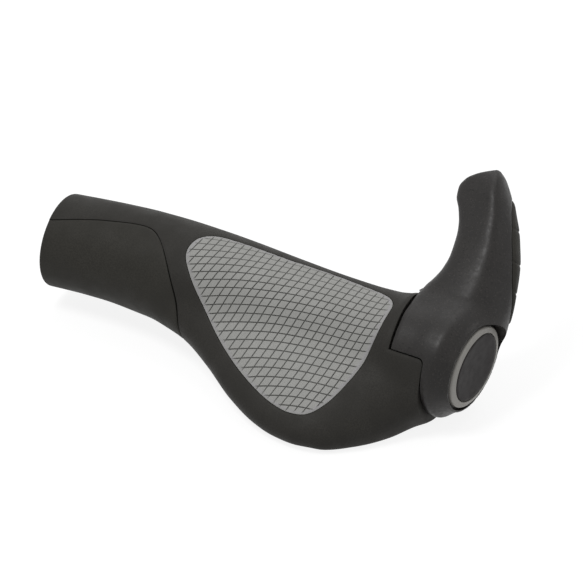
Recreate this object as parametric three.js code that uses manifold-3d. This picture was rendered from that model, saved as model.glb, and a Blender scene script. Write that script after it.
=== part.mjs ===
// Ergonomic handlebar grip for the right hand, with a palm wing and a short bar end.
// Millimetres. X runs outboard along the bar, Y forward, Z up.
// The origin is the centre of the bar bore, in the plane of the inboard face.
// Stations along the bar are counted from a datum plane a little outboard of that face.
import * as THREE from "three";
import { mergeVertices } from "three/addons/utils/BufferGeometryUtils.js";
import Module from "manifold-3d";

const wasm = await Module();
wasm.setup();

// Driving dimensions, millimetres and degrees
const DATUM = 1.1;
const BAR_DIAMETER = 22.2;
const BAR_CLEARANCE = 0.05;
const BAR_WALL = 1.8;
const FIT_GAP = 0.3;
const CORE_WALL = 1.5;
const END_RADIUS = 15.45;
const RIM_ROUND = 1.2;
const WEB_THICKNESS = 3;
const WEB_COVER = 7;
const WEB_START = 56;
const WEB_END = 118;
const WING_START = 24;
const WING_PEAK = 107;
const WING_REACH = 46.4;
const WING_DROOP = 22;
const WING_TIP_DROOP = 42;
const WING_THICKNESS = 18;
const SEAM_X = 125.7;
const SEAM_TILT = 5.7;
const SEAM_GAP = 0.9;
const SECTOR_GAP = 0.5;
const STEP_ANGLE = 151.5;
const STEP_ROUND = 2;
const SECTOR_END_ANGLE = 285;
const STEP_GAP = 1.6;
const TURN_ANGLE = 20;
const TURN_GAP = 2;
const WING_SECTOR_END = 140.5;
const RING_START = 128;
const RING_WIDTH = 18;
const RING_THICKNESS = 2.3;
const EAR_WIDTH = 12;
const EAR_OVER_SCREW = 1.5;
const EAR_SLIT = 1.5;
const EAR_HEAD_SIDE = 3.45;
const EAR_THREAD_SIDE = 5.75;
const SCREW_DIAMETER = 5;
const SCREW_HEAD_DIAMETER = 8.5;
const SCREW_HEAD_LENGTH = 4.5;
const HEX_SOCKET = 4;
const HEX_DEPTH = 2.4;
const WASHER_DIAMETER = 9.6;
const WASHER_THICKNESS = 0.8;
const SHELL_WEB = 1;
const ROOT_RADIUS = 18.9;
const ROOT_END_X = 150.3;
const LIP_WIDTH = 0.8;
const END_LEAN = 6;
const END_LEAN_START = 140;
const CAP_RADIUS = 14;
const CAP_SIDE_GAP = 1;
const CAP_THICKNESS = 2.4;
const CAP_EDGE = 0.8;
const CAP_FLOOR = 1.2;
const INLAY_RADIUS = 11.6;
const INLAY_DEPTH = 0.9;
const PLUG_LENGTH = 10.3;
const PLUG_WALL = 1.5;
const HORN_LEAN = 45;
const HORN_LENGTH = 62.8;
const HORN_HALF_THICKNESS = 8.5;
const PAD_THICKNESS = 1.6;
const PANEL_THICKNESS = 1.2;
const PANEL_SEAM = 0.5;
const FINGER_THICKNESS = 1.8;
const FINGER_PROUD = 0.5;
const FINGER_SEAM = 0.45;
const FINGER_GROOVE_WIDTH = 1.1;
const FINGER_GROOVE_DEPTH = 0.9;

// Sizes that follow from them
const boreRadius = BAR_DIAMETER / 2 + BAR_CLEARANCE;
const coreRadius = boreRadius + CORE_WALL;
const ringInner = coreRadius + FIT_GAP;
const ringOuter = ringInner + RING_THICKNESS;
const ringEnd = RING_START + RING_WIDTH;
const shellBore = ringOuter + FIT_GAP;
const shellWebStart = ringEnd + FIT_GAP;
const coreEnd = shellWebStart + SHELL_WEB;
const recessRadius = CAP_RADIUS + CAP_SIDE_GAP;
const endSlope = Math.tan((END_LEAN * Math.PI) / 180);
const recessFloor = coreEnd + endSlope * coreRadius;
const capBack = recessFloor + FIT_GAP;
const capFace = capBack + CAP_THICKNESS;
const screwX = (RING_START + ringEnd) / 2 + 1;
const headEar = -EAR_SLIT / 2 - EAR_HEAD_SIDE;
const threadEar = EAR_SLIT / 2 + EAR_THREAD_SIDE;
const screwHeight = Math.sqrt((ringOuter + FIT_GAP) ** 2 - headEar ** 2) + WASHER_DIAMETER / 2;
const earTop = screwHeight + SCREW_DIAMETER / 2 + EAR_OVER_SCREW;
const pastEnd = capFace + 8;
const pastWing = WING_REACH + 14;

const deg = Math.PI / 180;
const topAngle = 52.5 * deg;

// Smooth curve through a few real sizes: monotone cubic through rows of [station, size]
function curve(rows) {
  const n = rows.length;
  const slope = [];
  for (let i = 0; i < n - 1; i++) {
    slope.push((rows[i + 1][1] - rows[i][1]) / (rows[i + 1][0] - rows[i][0]));
  }
  const tangent = rows.map((row, i) => {
    if (i === 0) return slope[0];
    if (i === n - 1) return slope[n - 2];
    if (slope[i - 1] * slope[i] <= 0) return 0;
    return (2 * slope[i - 1] * slope[i]) / (slope[i - 1] + slope[i]);
  });
  return (x) => {
    let i = 0;
    while (i < n - 2 && x > rows[i + 1][0]) i++;
    const width = rows[i + 1][0] - rows[i][0];
    const t = Math.min(1, Math.max(0, (x - rows[i][0]) / width));
    const a = 2 * t ** 3 - 3 * t ** 2 + 1;
    const b = t ** 3 - 2 * t ** 2 + t;
    const c = 3 * t ** 2 - 2 * t ** 3;
    const d = t ** 3 - t ** 2;
    return a * rows[i][1] + b * width * tangent[i] + c * rows[i + 1][1] + d * width * tangent[i + 1];
  };
}

// Radius of the handle part along the bar, on its upper front and on its lower rear side
const handleTop = curve([
  [0, END_RADIUS], [10, END_RADIUS + 1.05], [20, END_RADIUS + 1.95], [30, END_RADIUS + 2.6],
  [42, END_RADIUS + 2.85], [54, END_RADIUS + 2.65], [65, END_RADIUS + 2.2], [83, END_RADIUS + 1.1],
  [100, END_RADIUS + 0.3], [110, END_RADIUS + 0.15], [118, END_RADIUS + 0.45],
  [123, END_RADIUS + 1.3], [126, END_RADIUS + 2.3], [134, ROOT_RADIUS - 0.8], [142, ROOT_RADIUS - 0.5],
]);
const handleLow = curve([
  [0, END_RADIUS], [12, END_RADIUS - 0.65], [20, END_RADIUS - 0.8], [36, END_RADIUS - 0.15],
  [110, END_RADIUS + 0.15], [123, END_RADIUS + 1], [134, ROOT_RADIUS - 1.6], [142, ROOT_RADIUS - 1.2],
]);

// Reach of the palm wing from the bar axis, its half thickness and how far it droops
const wingReach = curve([
  [0, END_RADIUS / 2], [WING_START, 8.5], [34, 12], [43.8, 16.5], [54.6, 20.8], [67, 28.3],
  [80, 37.3], [92, WING_REACH - 3], [100, WING_REACH - 0.7], [WING_PEAK, WING_REACH],
  [115, WING_REACH - 1.2], [124.5, 39.1], [132.4, 30.7], [137, 24.4], [142, 19.4],
]);
const wingHalf = curve([
  [0, WING_THICKNESS / 3], [30, WING_THICKNESS * 0.39], [60, WING_THICKNESS / 2],
  [120, WING_THICKNESS / 2 + 0.5], [135, WING_THICKNESS / 2 + 2], [142, WING_THICKNESS / 2 + 4],
]);
const wingDroop = curve([
  [0, WING_DROOP], [110, WING_DROOP], [124.5, WING_DROOP + 5], [132.4, WING_DROOP + 12],
  [137, WING_TIP_DROOP - 3], [142, WING_TIP_DROOP],
]);

// Skin radius at station x and angle phi: a round handle blended with a flat wing
function skinRadius(x, phi) {
  const mean = (handleTop(x) + handleLow(x)) / 2;
  const lean = (handleTop(x) - handleLow(x)) / 2;
  const handle = mean + lean * Math.cos(phi - topAngle);
  const g = phi - Math.PI - wingDroop(x) * deg;
  const half = wingHalf(x);
  const reach = Math.cos(g) > 0 ? wingReach(x) : half;
  const wing = ((Math.abs(Math.cos(g)) / reach) ** 2.5 + (Math.abs(Math.sin(g)) / half) ** 2.5) ** -0.4;
  return (handle ** 7 + wing ** 7) ** (1 / 7);
}

// How far the rounded rim of the inboard end lies inside the skin at station x
function rimDrop(x) {
  const depth = x + DATUM;
  if (depth >= RIM_ROUND) return 0;
  return RIM_ROUND - Math.sqrt(Math.max(0, RIM_ROUND ** 2 - (RIM_ROUND - depth) ** 2));
}

function skinPoint(x, phi) {
  const r = skinRadius(x, phi);
  return new THREE.Vector3(x, r * Math.cos(phi), r * Math.sin(phi));
}

// Point on the skin moved along its outward normal
function skinOffset(x, phi, offset) {
  const step = 0.02;
  const point = skinPoint(x, phi);
  const along = skinPoint(x + step, phi).sub(point);
  const around = skinPoint(x, phi + step / 10).sub(point);
  const normal = around.cross(along).normalize();
  if (normal.y * Math.cos(phi) + normal.z * Math.sin(phi) < 0) normal.negate();
  return point.addScaledVector(normal, offset === 0 ? -rimDrop(x) : offset);
}

// Angles spaced evenly by length round the section at station x, from the top direction
function arcTable(x) {
  const steps = 360;
  const lengths = [0];
  let last = skinPoint(x, topAngle);
  for (let i = 1; i <= steps; i++) {
    const next = skinPoint(x, topAngle + (i * 2 * Math.PI) / steps);
    lengths.push(lengths[i - 1] + next.distanceTo(last));
    last = next;
  }
  return lengths;
}

function angleAt(lengths, s) {
  let i = 0;
  while (i < lengths.length - 2 && lengths[i + 1] < s) i++;
  const t = (s - lengths[i]) / (lengths[i + 1] - lengths[i]);
  return topAngle + ((i + t) * 2 * Math.PI) / (lengths.length - 1);
}

// Geometry of a closed body from rings of points, its two ends closed by flat fans
function loft(rings) {
  const n = rings[0].length;
  const positions = [];
  const index = [];
  for (const ring of rings) for (const p of ring) positions.push(p.x, p.y, p.z);
  for (let i = 0; i < rings.length - 1; i++) {
    for (let j = 0; j < n; j++) {
      const a = i * n + j;
      const b = i * n + ((j + 1) % n);
      index.push(a, b, a + n, b, b + n, a + n);
    }
  }
  for (const [k, flip] of [[0, true], [rings.length - 1, false]]) {
    const centre = new THREE.Vector3();
    for (const p of rings[k]) centre.addScaledVector(p, 1 / n);
    const c = positions.length / 3;
    positions.push(centre.x, centre.y, centre.z);
    for (let j = 0; j < n; j++) {
      const a = k * n + j;
      const b = k * n + ((j + 1) % n);
      if (flip) index.push(c, b, a);
      else index.push(c, a, b);
    }
  }
  return indexed(positions, index);
}

// Geometry of a ring-shaped body: a closed row of closed sections
function hoop(sections) {
  const m = sections.length;
  const n = sections[0].length;
  const positions = [];
  const index = [];
  for (const ring of sections) for (const p of ring) positions.push(p.x, p.y, p.z);
  for (let i = 0; i < m; i++) {
    for (let j = 0; j < n; j++) {
      const a = i * n + j;
      const b = i * n + ((j + 1) % n);
      const c = ((i + 1) % m) * n + j;
      const d = ((i + 1) % m) * n + ((j + 1) % n);
      index.push(a, b, c, b, d, c);
    }
  }
  return indexed(positions, index);
}

function indexed(positions, index) {
  const geometry = new THREE.BufferGeometry();
  geometry.setAttribute("position", new THREE.Float32BufferAttribute(positions, 3));
  geometry.setIndex(index);
  return geometry;
}

// Solid for cutting and joining, with its faces turned outward
function solid(geometry) {
  const plain = geometry.clone();
  for (const name of Object.keys(plain.attributes)) {
    if (name !== "position") plain.deleteAttribute(name);
  }
  const merged = mergeVertices(plain, 1e-4);
  const vertProperties = new Float32Array(merged.attributes.position.array);
  const triVerts = new Uint32Array(merged.index.array);
  if (signedVolume(vertProperties, triVerts) < 0) {
    for (let i = 0; i < triVerts.length; i += 3) {
      [triVerts[i + 1], triVerts[i + 2]] = [triVerts[i + 2], triVerts[i + 1]];
    }
  }
  return new wasm.Manifold(new wasm.Mesh({ numProp: 3, vertProperties, triVerts }));
}

function signedVolume(v, tri) {
  let sum = 0;
  const p = [new THREE.Vector3(), new THREE.Vector3(), new THREE.Vector3()];
  for (let i = 0; i < tri.length; i += 3) {
    for (let k = 0; k < 3; k++) p[k].fromArray(v, tri[i + k] * 3);
    sum += p[0].dot(p[1].clone().cross(p[2]));
  }
  return sum;
}

function toGeometry(body) {
  const mesh = body.getMesh();
  const geometry = indexed(Array.from(mesh.vertProperties), Array.from(mesh.triVerts));
  const flat = geometry.toNonIndexed();
  flat.computeVertexNormals();
  return flat;
}

// Round body about the bar axis from a closed profile of [x, radius]
function turned(profile, segments = 44, lean = () => 0) {
  const points = profile.map(([x, r]) => new THREE.Vector2(r, x));
  const geometry = new THREE.LatheGeometry(points, segments);
  geometry.applyMatrix4(new THREE.Matrix4().set(0, 1, 0, 0, 1, 0, 0, 0, 0, 0, 1, 0, 0, 0, 0, 1));
  const place = geometry.attributes.position;
  for (let i = 0; i < place.count; i++) {
    const above = place.getY(i) * Math.cos(topAngle) + place.getZ(i) * Math.sin(topAngle);
    place.setX(i, place.getX(i) + lean(place.getX(i)) * endSlope * above);
  }
  return solid(geometry);
}

// The outboard end leans: its upper front side stands further out. The lean grows along the root.
function rootLean(x) {
  const t = Math.min(1, Math.max(0, (x - END_LEAN_START) / (ROOT_END_X - 0.6 - END_LEAN_START)));
  return t * t * (3 - 2 * t);
}

function capLean(x) {
  return x < capBack - 1 ? 0 : 1;
}

function tube(x0, x1, inner, outer, segments = 44) {
  return turned([[x0, inner], [x0, outer], [x1, outer], [x1, inner], [x0, inner]], segments);
}

function rod(x0, x1, radius, segments = 44) {
  return turned([[x0, 0], [x0, radius], [x1, radius], [x1, 0]], segments);
}

// Frame of the bar end: h along the horn, p square to it towards the rider
const hornUp = new THREE.Vector3(0, Math.cos(HORN_LEAN * deg), Math.sin(HORN_LEAN * deg));
const hornBack = new THREE.Vector3(0, -Math.sin(HORN_LEAN * deg), Math.cos(HORN_LEAN * deg));
const hornFrame = new THREE.Matrix4().makeBasis(new THREE.Vector3(1, 0, 0), hornUp, hornBack);

function hornBox(x0, x1, h0, h1, p0, p1) {
  const geometry = new THREE.BoxGeometry(x1 - x0, h1 - h0, p1 - p0);
  geometry.translate((x0 + x1) / 2, (h0 + h1) / 2, (p0 + p1) / 2);
  return solid(geometry.applyMatrix4(hornFrame));
}

function hornRod(x, h, p0, p1, radius, segments = 24) {
  const geometry = new THREE.CylinderGeometry(radius, radius, p1 - p0, segments);
  geometry.rotateX(Math.PI / 2);
  geometry.translate(x, h, (p0 + p1) / 2);
  return solid(geometry.applyMatrix4(hornFrame));
}

// Closed smooth outline through a few points, as a fine polygon
function outline(points, count = 120) {
  const path = new THREE.CatmullRomCurve3(points.map(([a, b]) => new THREE.Vector3(a, b, 0)), true, "centripetal");
  return path.getSpacedPoints(count).slice(0, count).map((p) => [p.x, p.y]);
}

// Polygon with every side moved outward by the same distance
function grown(polygon, distance) {
  const n = polygon.length;
  let area = 0;
  polygon.forEach(([x, y], i) => {
    const [u, v] = polygon[(i + 1) % n];
    area += x * v - u * y;
  });
  const side = Math.sign(area);
  const normal = ([a, b], [c, d]) => {
    const length = Math.hypot(c - a, d - b);
    return [(side * (d - b)) / length, (-side * (c - a)) / length];
  };
  return polygon.map((point, i) => {
    const before = normal(polygon[(i + n - 1) % n], point);
    const after = normal(point, polygon[(i + 1) % n]);
    const mitre = distance / Math.max(0.35, 1 + before[0] * after[0] + before[1] * after[1]);
    return [point[0] + mitre * (before[0] + after[0]), point[1] + mitre * (before[1] + after[1])];
  });
}

// Lowest and highest second coordinate of a polygon at the first coordinate x
function span(polygon, x) {
  let low = Infinity;
  let high = -Infinity;
  polygon.forEach(([a, b], i) => {
    const [c, d] = polygon[(i + 1) % polygon.length];
    if ((a <= x && c >= x) || (c <= x && a >= x)) {
      const s = a === c ? b : b + ((d - b) * (x - a)) / (c - a);
      low = Math.min(low, s);
      high = Math.max(high, s);
    }
  });
  return [low, high];
}

// Point moved square to the line towards its neighbour, up or down the second coordinate
function beside([u, v], [nextU, nextV], distance) {
  const length = Math.hypot(nextU - u, nextV - v);
  const side = Math.sign(nextU - u) * distance;
  return [u - (side * (nextV - v)) / length, v + (side * (nextU - u)) / length];
}

// Plate that follows a surface inside an outline: place(u, v, offset) gives its points.
// A grown plate keeps the same facets and has a border of that width round them.
function plate(polygon, place, inner, outer, columns, rows, grow = 0) {
  const us = polygon.map((p) => p[0]);
  const first = Math.min(...us);
  const last = Math.max(...us);
  const lows = [];
  const highs = [];
  for (let i = 0; i <= columns; i++) {
    const t = (1 - Math.cos((Math.PI * (i + 0.35)) / (columns + 0.7))) / 2;
    const u = first + (last - first) * t;
    const [low, high] = span(polygon, u);
    lows.push([u, low]);
    highs.push([u, high]);
  }
  let lines = lows.map(([u, low], i) => {
    const line = [];
    for (let j = 0; j <= rows; j++) line.push([u, low + ((highs[i][1] - low) * j) / rows]);
    return line;
  });
  if (grow > 0) {
    const edge = grown([...lows, ...highs.slice().reverse()], grow);
    const wide = lines.map((line, i) => [edge[i], ...line, edge[2 * columns + 1 - i]]);
    const ends = [0, columns].map((i) => {
      const shift = i === 0 ? -grow : grow;
      return wide[i].map(([u, v], j) => (j === 0 || j > rows + 1 ? [u, v] : [u + shift, v]));
    });
    for (const [i, next] of [[0, 1], [columns, columns - 1]]) {
      wide[i][0] = beside(lows[i], lows[next], -grow);
      wide[i][rows + 2] = beside(highs[i], highs[next], grow);
    }
    lines = [ends[0], ...wide, ends[1]];
  }
  const rings = lines.map((line) => [
    ...line.map(([u, v]) => place(u, v, outer)),
    ...line.slice().reverse().map(([u, v]) => place(u, v, inner)),
  ]);
  return solid(gridLoft(rings, lines[0].length - 1));
}

// Loft of plate sections, whose ends are closed by strips between the two faces
function gridLoft(rings, rows) {
  const n = rings[0].length;
  const positions = [];
  const index = [];
  for (const ring of rings) for (const p of ring) positions.push(p.x, p.y, p.z);
  for (let i = 0; i < rings.length - 1; i++) {
    for (let j = 0; j < n; j++) {
      const a = i * n + j;
      const b = i * n + ((j + 1) % n);
      index.push(a, b, a + n, b, b + n, a + n);
    }
  }
  for (const [k, flip] of [[0, true], [rings.length - 1, false]]) {
    for (let j = 0; j < rows; j++) {
      const a = k * n + j;
      const b = k * n + j + 1;
      const c = k * n + n - 2 - j;
      const d = k * n + n - 1 - j;
      if (flip) index.push(a, d, b, d, c, b);
      else index.push(a, b, d, b, c, d);
    }
  }
  return indexed(positions, index);
}

function onSkin(x, s, offset) {
  return skinOffset(x, angleAt(arcTable(x), s), offset);
}

// Grip skin as one closed body
const skinStations = [
  -DATUM, 0.25 * RIM_ROUND - DATUM, RIM_ROUND - DATUM, 6, 13, 20, 27, 34, 41, 48, 54, 60, 66, 72, 79, 86,
  93, 100, 106, 111, 116, 120, 124, 128, 131.5, 135, 138.5, 142,
];
function skinBody() {
  const count = 46;
  const rings = skinStations.map((x) => {
    const lengths = arcTable(x);
    const total = lengths[lengths.length - 1];
    const ring = [];
    for (let j = 0; j < count; j++) ring.push(skinOffset(x, angleAt(lengths, (total * j) / count), 0));
    return ring;
  });
  return solid(loft(rings));
}

// The tilted seam above the step
function seamAt(phi) {
  return SEAM_X + Math.tan(SEAM_TILT * deg) * (END_RADIUS + 1.55) * Math.cos(phi - 150 * deg);
}

// Where the longer sector behind and under the bar ends, with a rounded corner at the step
function sectorEnd(phi) {
  const fromStep = (phi - STEP_ANGLE * deg) * ROOT_RADIUS;
  if (fromStep >= STEP_ROUND) return WING_SECTOR_END;
  const rise = Math.sqrt(Math.max(0, STEP_ROUND ** 2 - (STEP_ROUND - fromStep) ** 2));
  return WING_SECTOR_END - STEP_ROUND + rise;
}

// Hoop-shaped cutter whose near end follows the grip's end line at each angle.
// It is shifted outboard by the gaps, and its step angles are moved apart by early and late.
function endTool(sectorGap, seamGap, farX, inner, lowOuter, seamOuter, early, late) {
  const eps = 1e-4;
  const sections = [];
  const section = (phi, x, outer) => {
    const c = Math.cos(phi);
    const s = Math.sin(phi);
    sections.push([
      new THREE.Vector3(x, inner * c, inner * s), new THREE.Vector3(x, outer * c, outer * s),
      new THREE.Vector3(farX, outer * c, outer * s), new THREE.Vector3(farX, inner * c, inner * s),
    ]);
  };
  const step = STEP_ANGLE * deg;
  const last = SECTOR_END_ANGLE * deg;
  for (const share of [0, 0.03, 0.12, 0.3, 0.6, 1]) {
    const phi = step + (share * STEP_ROUND) / ROOT_RADIUS;
    section(phi - early * deg + eps, sectorEnd(phi) + sectorGap, lowOuter);
  }
  for (let i = 1; i <= 12; i++) {
    const phi = step + ((last - step) * i) / 12 - eps + (i === 12 ? late * deg : 0);
    section(phi, WING_SECTOR_END + sectorGap, lowOuter);
  }
  const turns = 22;
  const from = last + late * deg;
  const to = step - early * deg + 2 * Math.PI;
  for (let i = 0; i <= turns; i++) {
    const phi = from + ((to - from) * i) / turns;
    section(phi, seamAt(phi) + seamGap, seamOuter);
  }
  return solid(hoop(sections));
}

// Inner sleeve with the flat web that stiffens the wing
function webBody(clearance) {
  const rings = [];
  const columns = 12;
  for (let i = 0; i <= columns; i++) {
    const x = WEB_START - clearance + ((WEB_END - WEB_START + 2 * clearance) * i) / columns;
    const tip = Math.max(coreRadius + 1, wingReach(x) - WEB_COVER) + 1.6 * clearance;
    const angle = Math.PI + wingDroop(x) * deg;
    const along = new THREE.Vector3(0, Math.cos(angle), Math.sin(angle));
    const across = new THREE.Vector3(0, -Math.sin(angle), Math.cos(angle));
    const half = WEB_THICKNESS / 2 + clearance;
    const corner = (a, b) => new THREE.Vector3(x, 0, 0).addScaledVector(along, a).addScaledVector(across, b);
    rings.push([
      corner(coreRadius - 1, -half), corner(tip - WEB_THICKNESS / 3, -half), corner(tip, 0),
      corner(tip - WEB_THICKNESS / 3, half), corner(coreRadius - 1, half),
    ]);
  }
  return solid(loft(rings));
}

const coreRod = rod(-DATUM, coreEnd, coreRadius);
let core = coreRod.add(webBody(0)).subtract(rod(-DATUM - 1, coreEnd + 1, boreRadius));
for (const turn of [0, 1]) {
  const slot = new THREE.BoxGeometry(coreEnd + 1 - RING_START, coreRadius * 2 + 2, 1.6);
  slot.translate((coreEnd + 1 + RING_START) / 2, 0, 0);
  slot.rotateX((HORN_LEAN + 45 + 90 * turn) * deg);
  core = core.subtract(solid(slot));
}

// Outline of the palm pad, as [x, length round the skin from the top line]
const padOutline = outline([
  [50.2, 13.5], [49.4, 20], [53, 26], [61.5, 35.5], [71, 43.3], [84, 51.2], [96, 56.3], [104.4, 57.8],
  [110.5, 56.4], [115, 51], [118.4, 41.6], [120.8, 31], [122.4, 20], [122.2, 13.8], [118.5, 9.4],
  [108, 6.6], [95, 5.6], [80, 6.8], [65, 7.6], [54.5, 9.4],
]);

// Outline of the second rubber panel at the inboard end, under and behind the handle
const panelStart = 0.1 - DATUM;
const panelEdge = new THREE.CatmullRomCurve3([
  [panelStart, 19.5], [7.6, 17.7], [14, 16.5], [21, 15.6], [28, 14.9], [32.5, 14.9], [35.5, 15.9],
  [39.3, 19], [43.1, 23.7], [47.4, 30.9], [51.1, 38.8], [53.6, 48.4], [54.2, 57], [52, 67],
  [46.5, 75.5], [39, 81.5], [30, 84], [15, 84], [panelStart, 83.5],
].map(([x, s]) => new THREE.Vector3(x, s, 0)), false, "centripetal");
const panelOutline = panelEdge.getSpacedPoints(90).map((p) => [p.x, p.y]);

function padBody() {
  return plate(padOutline, onSkin, -PAD_THICKNESS, 0, 18, 12);
}

// Rubber body of the grip, with room for the sleeve, the pad and the panel
function gripBody() {
  const padPocket = plate(padOutline, onSkin, -PAD_THICKNESS - FIT_GAP, 1, 18, 12, FIT_GAP);
  const panelPocket = plate(panelOutline, onSkin, -PANEL_THICKNESS - FIT_GAP, 1, 18, 18, PANEL_SEAM);
  return skinBody()
    .subtract(endTool(0, 0, pastEnd, boreRadius / 2, pastWing, pastWing, 0, 0))
    .subtract(rod(-DATUM - 1, pastEnd, coreRadius + FIT_GAP))
    .subtract(rod(RING_START - SEAM_GAP, pastEnd, shellBore))
    .subtract(webBody(FIT_GAP))
    .subtract(padPocket)
    .subtract(panelPocket);
}

function panelBody() {
  return plate(panelOutline, onSkin, -PANEL_THICKNESS, 0, 18, 18);
}

// Horn sections: height, inboard edge, outboard edge, half thickness
const hornInboard = curve([
  [0, 124], [14, 124], [18.3, 125.3], [23.2, 128], [27, 129.5], [32, 130.3], [38, 130], [42, 129.2], [47, 127],
  [51, 124.6], [54, 124.3], [57, 125.6], [59.5, 128.5], [61.3, 131.6], [HORN_LENGTH, 134.6],
]);
const hornOutboard = curve([
  [0, 150], [8, 153.5], [14, 155.3], [20, 155], [30, 153.4], [36, 151.9], [42, 149.5], [47, 147.2],
  [51, 144.8], [55, 142.3], [59, 139.4], [61.3, 137.5], [HORN_LENGTH, 135.6],
]);
const hornHalf = curve([
  [0, ROOT_RADIUS - 4], [14, ROOT_RADIUS - 6], [20, HORN_HALF_THICKNESS + 2.3],
  [30, HORN_HALF_THICKNESS + 0.5], [42, HORN_HALF_THICKNESS], [53, HORN_HALF_THICKNESS - 0.1],
  [57, HORN_HALF_THICKNESS - 1], [60, HORN_HALF_THICKNESS - 3], [HORN_LENGTH, 1.5],
]);

// How far the crest between the horn's rear and outboard faces lies inboard of its outboard edge
const crestInset = curve([
  [0, 5.4], [14, 10.6], [20, 10.3], [30, 8.9], [36, 7.8], [43, 5.9], [50, 3.8], [56, 2.4], [HORN_LENGTH, 0.4],
]);
// Direction that the outboard face looks in, in degrees from outboard towards the rider
const faceAngle = curve([[0, 57], [20, 50], [36, 45], [50, 28], [HORN_LENGTH, 25]]);
// Direction that the rear face looks in, leaning away from the crest
const rearAngle = curve([[0, 90], [20, 97], [36, 104], [50, 108], [HORN_LENGTH, 106]]);
const CREST_FULLNESS = 0.7;

// Radius of the horn's section at height t and angle g from outboard towards the rider
function hornRadius(t, g) {
  const a = (hornOutboard(t) - hornInboard(t)) / 2;
  const b = hornHalf(t);
  const round = ((Math.abs(Math.cos(g)) / a) ** 2.6 + (Math.abs(Math.sin(g)) / b) ** 2.6) ** (-1 / 2.6);
  const crest = a - crestInset(t);
  const crestDepth = b * (1 - Math.abs(crest / a) ** 2.6) ** (1 / 2.6);
  let total = round ** -9;
  for (const look of [faceAngle(t) * deg, rearAngle(t) * deg]) {
    const reach = crest * Math.cos(look) + crestDepth * Math.sin(look) + CREST_FULLNESS;
    const facing = Math.cos(g - look);
    if (facing > 0.05) total += (reach / facing) ** -9;
  }
  return total ** (-1 / 9);
}

function hornPoint(t, g, offset) {
  const r = hornRadius(t, g) + offset;
  const centre = (hornInboard(t) + hornOutboard(t)) / 2;
  const point = new THREE.Vector3(centre + r * Math.cos(g), 0, 0);
  return point.addScaledVector(hornUp, t).addScaledVector(hornBack, r * Math.sin(g));
}

function hornBody() {
  const stations = [
    0, 8, 13, 17, 20, 23, 27, 32, 37, 42, 46, 49.5, 52, 54.5, 57, 59.2, 61, HORN_LENGTH,
  ];
  const count = 34;
  return solid(loft(stations.map((t) => {
    const ring = [];
    for (let j = 0; j < count; j++) ring.push(hornPoint(t, (j * 2 * Math.PI) / count, 0));
    return ring;
  })));
}

function rootBody() {
  return turned([
    [SEAM_X - 4, 0], [SEAM_X - 4, END_RADIUS + 1.6], [129, END_RADIUS + 2], [135, ROOT_RADIUS - 0.9],
    [140, ROOT_RADIUS - 0.1], [143, ROOT_RADIUS - 0.05], [145, ROOT_RADIUS - 0.6], [147, ROOT_RADIUS - 1.6],
    [148.6, ROOT_RADIUS - 2.6], [149.7, recessRadius + LIP_WIDTH], [ROOT_END_X, recessRadius + LIP_WIDTH * 0.6],
    [ROOT_END_X, 0],
  ], 44, rootLean);
}

// Outline of the finger pad on the horn's front, from [height, angle in degrees]
const fingerMean = 12;
const fingerOutline = outline([
  [17.5, -22], [17.5, -31], [22, -42], [27, -62], [33, -88], [40, -104], [47, -108], [52, -92],
  [54.6, -55], [55.2, -22], [52, -4], [45, 7], [38, 9], [31, 3], [24, -9],
].map(([t, angle]) => [t, angle * deg * fingerMean]));

function onHorn(t, s, offset) {
  return hornPoint(t, s / fingerMean, offset);
}

function fingerBody(inner, outer, grow) {
  return plate(fingerOutline, onHorn, inner, outer, 14, 11, grow);
}

function fingerPad() {
  let pad = fingerBody(-FINGER_THICKNESS, FINGER_PROUD, 0);
  for (const t of [27, 36, 46.3]) {
    const half = FINGER_GROOVE_WIDTH / 2;
    const line = [[t - half, -32], [t - half, -6], [t + half, -6], [t + half, -32]];
    pad = pad.subtract(plate(line, onHorn, FINGER_PROUD - FINGER_GROOVE_DEPTH, FINGER_PROUD + 2, 1, 11));
  }
  return pad;
}

// Split aluminium ring that clamps the bar end on the sleeve, with two ears for the screw
const earStart = screwX - EAR_WIDTH / 2;
const earEnd = screwX + EAR_WIDTH / 2;

function clampRing() {
  return tube(RING_START, ringEnd, ringInner, ringOuter)
    .add(hornBox(earStart, earEnd, ringInner + 0.6, earTop, headEar, threadEar).subtract(rod(RING_START - 1, ringEnd + 1, ringInner + 0.5)))
    .subtract(hornBox(RING_START - 1, ringEnd + 1, 0, earTop + 1, -EAR_SLIT / 2, EAR_SLIT / 2))
    .subtract(hornRod(screwX, screwHeight, headEar - 1, threadEar + 1, SCREW_DIAMETER / 2 + FIT_GAP));
}

const washerOuterFace = headEar - FIT_GAP - WASHER_THICKNESS;
const headSeat = washerOuterFace - FIT_GAP;

function clampWasher() {
  return hornRod(screwX, screwHeight, washerOuterFace, headEar - FIT_GAP, WASHER_DIAMETER / 2)
    .subtract(hornRod(screwX, screwHeight, washerOuterFace - 1, headEar + 1, SCREW_DIAMETER / 2 + FIT_GAP));
}

function clampScrew() {
  return hornRod(screwX, screwHeight, headSeat, threadEar, SCREW_DIAMETER / 2)
    .add(hornRod(screwX, screwHeight, headSeat - SCREW_HEAD_LENGTH, headSeat, SCREW_HEAD_DIAMETER / 2))
    .subtract(hornRod(screwX, screwHeight, headSeat - SCREW_HEAD_LENGTH - 1,
      headSeat - SCREW_HEAD_LENGTH + HEX_DEPTH, HEX_SOCKET / Math.sqrt(3), 6));
}

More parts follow.
